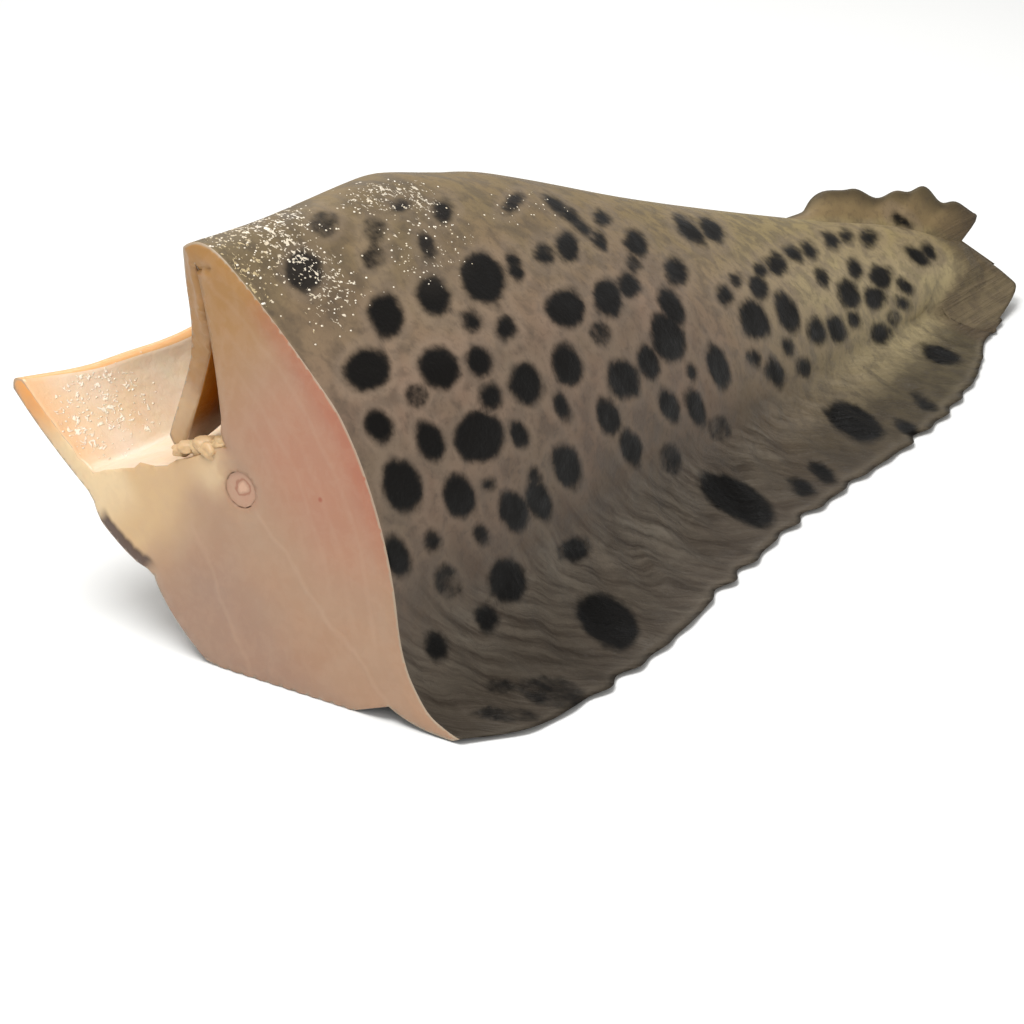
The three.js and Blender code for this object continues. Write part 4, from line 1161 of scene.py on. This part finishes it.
def makeLining(name, inside):
    material, tree, shader = newMaterial(name)
    where = objectPlace(tree)
    _, up, side = sectionPlace(tree)
    cloud = useGroup(tree, cloudiness, {"Place": where, "Size": 0.03, "Contrast": 1.0})["Value"]
    small = useGroup(tree, cloudiness, {"Place": where, "Size": 0.012, "Contrast": 1.2})["Value"]
    color = blendColor(tree, cloud, liningFinish["pale"], liningFinish["peach"])
    color = blendColor(tree, calc(tree, "MULTIPLY", small, 0.4), color, liningFinish["pink"])
    if inside:
        # tan on the flap and its wall; golden brown deep in the hole is painted shade, and has no coat
        color = blendColor(tree, band(tree, side, -26.0, -8.0), color, liningFinish["tan"])
        paintedHoleShade = calc(tree, "MULTIPLY", band(tree, side, -20.0, -2.0), band(tree, attribute(tree, "place"),
                      -0.03, 0.03))
        color = blendColor(tree, paintedHoleShade, color, liningFinish["deep"])
        awayFromHoleShade = calc(tree, "SUBTRACT", 1.0, paintedHoleShade)
        tree.links.new(calc(tree, "MULTIPLY", awayFromHoleShade, liningFinish["coat"]), shader.inputs["Coat Weight"])
    else:
        color = blendColor(tree, band(tree, side, -60.0, -40.0), liningFinish["orange"], liningFinish["tan"])
    wetter = calc(tree, "ADD", attribute(tree, "wet"), liningFinish["wetness"])
    specks = useGroup(tree, wetSpecksAndGlints, {"Place": where, "Wetness": wetter, "Size": 0.0035})
    if inside:
        tip = calc(tree, "MULTIPLY", band(tree, side, -62.0, -74.0), band(tree, attribute(tree, "place"), 0.05,
                                                                           0.0))
        color = blendColor(tree, calc(tree, "MULTIPLY", tip, 0.8), color, liningFinish["orange"])
    # painted highlights: pale specks where the light catches the wet lining
    color = blendColor(tree, calc(tree, "MULTIPLY", specks["Mask"], 0.6), color, liningFinish["paintedGlint"])
    tree.links.new(color, shader.inputs["Base Color"])
    shader.inputs["Roughness"].default_value = 0.34
    shader.inputs["Specular IOR Level"].default_value = 0.3 if inside else 0.2
    shader.inputs["Coat Roughness"].default_value = 0.14
    shader.inputs["Subsurface Weight"].default_value = 0.15
    shader.inputs["Subsurface Radius"].default_value = (0.008, 0.004, 0.0025)
    shader.inputs["Subsurface Scale"].default_value = 0.5
    height = calc(tree, "ADD", grain(tree, where, 170, 4, 0.6), specks["Height"])
    tree.links.new(bump(tree, height, 0.55, 0.0012), shader.inputs["Normal"])
    return material


boneFinish = {
    "pale": paint(172, 138, 112), "warm": paint(172, 128, 104), "core": paint(192, 152, 126),
    "ring": paint(146, 92, 68), "coreAt": (0.0, -0.0012, 0.0012), "coreRadius": 2.6,
}


def makeBone():
    material, tree, shader = newMaterial("backboneBone")
    where = objectPlace(tree)
    cloud = useGroup(tree, cloudiness, {"Place": where, "Size": 0.006, "Contrast": 1.0})["Value"]
    color = blendColor(tree, cloud, boneFinish["pale"], boneFinish["warm"])
    # a small pale core with a red line round it, a little off the middle
    middle = Vector(toScene((0, 0, along(fish["spineHeight"], 0)))) + Vector(boneFinish["coreAt"])
    rel = add(tree, "VectorMath", {0: where, 1: middle}, operation="SUBTRACT").outputs[0]
    rel = add(tree, "VectorMath", {0: rel, 1: (0.2, 1, 1)}, operation="MULTIPLY").outputs[0]
    length = add(tree, "VectorMath", {0: rel}, operation="LENGTH").outputs["Value"]
    off = calc(tree, "ADD", calc(tree, "MULTIPLY", length, 1000.0), calc(tree, "MULTIPLY", cloud, 2.4))
    radius = boneFinish["coreRadius"]
    color = blendColor(tree, calc(tree, "MULTIPLY", lineAt(tree, off, radius + 2.1, 1.1), 0.8), color,
                       boneFinish["ring"])
    color = blendColor(tree, band(tree, off, radius + 1.4, radius), color, boneFinish["core"])
    tree.links.new(color, shader.inputs["Base Color"])
    shader.inputs["Roughness"].default_value = 0.4
    tree.links.new(bump(tree, grain(tree, where, 900, 3, 0.6), 0.4, 0.0005), shader.inputs["Normal"])
    return material


fleshMaterial = makeFlesh()
for made in (makeSkin(), fleshMaterial, makeLining("bellyLining", True), makeLining("lipFlesh", False)):
    carcassMesh.materials.append(made)
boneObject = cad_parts["backbone"]

boneObject.data.materials.clear()
boneObject.data.materials.append(makeBone())
# torn tags of tissue along the lower edge of the belly's opening
tags = {"from": (-31, -19), "to": (-18, 6), "count": 9, "seed": 3, "size": (3.0, 4.8), "back": (2.0, 6.0),
        "rings": 14, "sides": 22, "roughness": 0.4}


def makeTags(material):
    rng = random.Random(tags["seed"])
    verts, faces = [], []
    for k in range(tags["count"]):
        share = (k + rng.uniform(0.2, 0.8)) / tags["count"]
        size, back = rng.uniform(*tags["size"]), rng.uniform(*tags["back"])
        up = lerp(tags["from"][0], tags["to"][0], share) - rng.uniform(-0.3, 0.35) * size
        side = lerp(tags["from"][1], tags["to"][1], share)
        middle = toScene(placed(0, (up, side), back))[0] / mm
        stretch = np.array((rng.uniform(0.9, 1.3), rng.uniform(0.9, 1.3), rng.uniform(0.7, 0.95))) * size
        first = len(verts)
        for i in range(tags["rings"] + 1):
            tilt = math.pi * i / tags["rings"]
            for j in range(tags["sides"] if 0 < i < tags["rings"] else 1):
                turn = 2 * math.pi * j / tags["sides"]
                way = np.array((math.cos(tilt), math.sin(tilt) * math.cos(turn), math.sin(tilt) * math.sin(turn)))
                lump = 1 + tags["roughness"] * noise.noise(Vector(way * 1.6) + Vector((k * 7, 0, 0)))
                verts.append((middle + way * stretch * lump) * mm)

        def at(i, j):
            if i == 0:
                return first
            if i == tags["rings"]:
                return first + 1 + (tags["rings"] - 1) * tags["sides"]
            return first + 1 + (i - 1) * tags["sides"] + j % tags["sides"]

        for i in range(tags["rings"]):
            for j in range(tags["sides"]):
                face = [at(i, j), at(i + 1, j), at(i + 1, j + 1), at(i, j + 1)]
                faces.append(list(dict.fromkeys(face)))
    made = bpy.data.meshes.new("bellyTags")
    made.from_pydata([tuple(v) for v in verts], [], faces)
    made.polygons.foreach_set("use_smooth", [True] * len(faces))
    section = made.attributes.new("section", "FLOAT_VECTOR", "POINT")
    section.data.foreach_set("vector", [c for _ in verts for c in (-20, -45, 0)])
    rim = made.attributes.new("rim", "FLOAT", "POINT")
    rim.data.foreach_set("value", [20] * len(verts))
    made.materials.append(material)
    piece = bpy.data.objects.new("bellyTags", made)
    bpy.context.collection.objects.link(piece)
    return piece


bellyTags = makeTags(fleshMaterial)
print("tags of tissue ready")

# beads of slime on the shoulder
beads = {"perSquareMetre": 90000, "seed": 5, "smallest": 0.22, "biggest": 0.62, "flatness": 0.45}


def makeBeadTree(material):
    tree = bpy.data.node_groups.new("slimeBeads", "GeometryNodeTree")
    for name, kind, value in (("Geometry", "Geometry", None), ("Density", "Float", 1.0), ("Seed", "Int", 0),
                              ("Smallest", "Float", 0.0002), ("Biggest", "Float", 0.0006),
                              ("Flatness", "Float", 0.5)):
        socket = tree.interface.new_socket(name, in_out="INPUT", socket_type="NodeSocket" + kind)
        if value is not None:
            socket.default_value = value
    tree.interface.new_socket("Geometry", in_out="OUTPUT", socket_type="NodeSocketGeometry")
    source = tree.nodes.new("NodeGroupInput").outputs
    result = tree.nodes.new("NodeGroupOutput").inputs

    def part(kind, inputs=None, **settings):
        made = tree.nodes.new(kind)
        for key, value in settings.items():
            setattr(made, key, value)
        for key, value in (inputs or {}).items():
            if isinstance(value, bpy.types.NodeSocket):
                tree.links.new(value, made.inputs[key])
            else:
                made.inputs[key].default_value = value
        return made.outputs

    wetness = part("GeometryNodeInputNamedAttribute", {"Name": "wet"}, data_type="FLOAT")["Attribute"]
    squared = part("ShaderNodeMath", {0: wetness, 1: 2.0}, operation="POWER")[0]
    density = part("ShaderNodeMath", {0: squared, 1: source["Density"]}, operation="MULTIPLY")[0]
    scattered = part("GeometryNodeDistributePointsOnFaces", {"Mesh": source["Geometry"], "Density": density,
                                                             "Seed": source["Seed"]})
    shape = part("GeometryNodeMeshIcoSphere", {"Radius": 1.0, "Subdivisions": 1})["Mesh"]
    size = part("FunctionNodeRandomValue", {"Min": source["Smallest"], "Max": source["Biggest"],
                                            "Seed": source["Seed"]}, data_type="FLOAT")
    size = [socket for socket in size if socket.type == "VALUE" and socket.enabled][0]
    long = part("ShaderNodeMath", {0: size, 1: 1.5}, operation="MULTIPLY")[0]
    flat = part("ShaderNodeMath", {0: size, 1: source["Flatness"]}, operation="MULTIPLY")[0]
    scale = part("ShaderNodeCombineXYZ", {0: long, 1: size, 2: flat})[0]
    placedBeads = part("GeometryNodeInstanceOnPoints", {"Points": scattered["Points"], "Instance": shape,
                                                        "Rotation": scattered["Rotation"], "Scale": scale})
    real = part("GeometryNodeRealizeInstances", {"Geometry": placedBeads["Instances"]})["Geometry"]
    dressed = part("GeometryNodeSetMaterial", {"Geometry": real, "Material": material})["Geometry"]
    tree.links.new(dressed, result["Geometry"])
    return tree


def makeBeads():
    material, tree, shader = newMaterial("slimeBead")
    tone = useGroup(tree, cloudiness, {"Place": objectPlace(tree), "Size": 0.006, "Contrast": 1.0})["Value"]
    tree.links.new(blendColor(tree, tone, paint(250, 242, 226), paint(206, 188, 156)), shader.inputs["Base Color"])
    shader.inputs["Roughness"].default_value = 0.12
    holder = bpy.data.objects.new("beadHolder", carcassMesh.copy())
    bpy.context.collection.objects.link(holder)
    tree = makeBeadTree(material)
    modifier = holder.modifiers.new("beads", "NODES")
    modifier.node_group = tree
    values = {"Density": float(beads["perSquareMetre"]), "Seed": beads["seed"], "Smallest": beads["smallest"] * mm,
              "Biggest": beads["biggest"] * mm, "Flatness": beads["flatness"]}
    for item in tree.interface.items_tree:
        if item.in_out == "INPUT" and item.name in values:
            modifier[item.identifier] = values[item.name]
    bpy.context.view_layer.update()
    graph = bpy.context.evaluated_depsgraph_get()
    made = bpy.data.meshes.new_from_object(holder.evaluated_get(graph))
    bpy.data.objects.remove(holder)
    piece = bpy.data.objects.new("slimeBeads", made)
    bpy.context.collection.objects.link(piece)
    made.polygons.foreach_set("use_smooth", [True] * len(made.polygons))
    print("beads of slime", len(made.polygons) // 20)
    return piece


slimeBeads = makeBeads()
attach(slimeBeads, "root")
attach(bellyTags, "root")
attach(carcass, "root")
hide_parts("carcass")
print("materials ready")

# floor and light
studio = {
    "floorSize": 8, "floorColor": paint(238, 238, 236),
    "key": {"at": (-0.75, 0.1, 1.7), "size": 1.0, "power": 30},
    "fill": {"at": (-1.7, -1.3, 1.0), "size": 1.6, "power": 13},
    "back": {"at": (0.9, 0.9, 1.4), "size": 1.0, "power": 12},
    "world": 0.42,
}
floorMesh = bpy.data.meshes.new("floor")
half = studio["floorSize"] / 2
floorMesh.from_pydata([(-half, -half, -0.0004), (half, -half, -0.0004), (half, half, -0.0004),
                       (-half, half, -0.0004)], [], [(0, 1, 2, 3)])
floor = bpy.data.objects.new("floor", floorMesh)
bpy.context.collection.objects.link(floor)
floorMaterial, floorTree, floorShader = newMaterial("floorPaper")
floorShader.inputs["Base Color"].default_value = studio["floorColor"]
floorShader.inputs["Roughness"].default_value = 0.9
floorMesh.materials.append(floorMaterial)

for name in ("key", "fill", "back"):
    lamp = studio[name]
    lampData = bpy.data.lights.new(name, "AREA")
    lampData.size = lamp["size"]
    lampData.energy = lamp["power"]
    lampObject = bpy.data.objects.new(name, lampData)
    lampObject.location = lamp["at"]
    lampObject.rotation_euler = (Vector((0, 0, 0.08)) - Vector(lamp["at"])).to_track_quat("-Z", "Y").to_euler()
    bpy.context.collection.objects.link(lampObject)

world = bpy.data.worlds.new("studio")
world.use_nodes = True
world.node_tree.nodes["Background"].inputs[0].default_value = (1, 1, 1, 1)
world.node_tree.nodes["Background"].inputs[1].default_value = studio["world"]
bpy.context.scene.world = world
bpy.context.scene.view_settings.view_transform = "Standard"
print("studio ready")
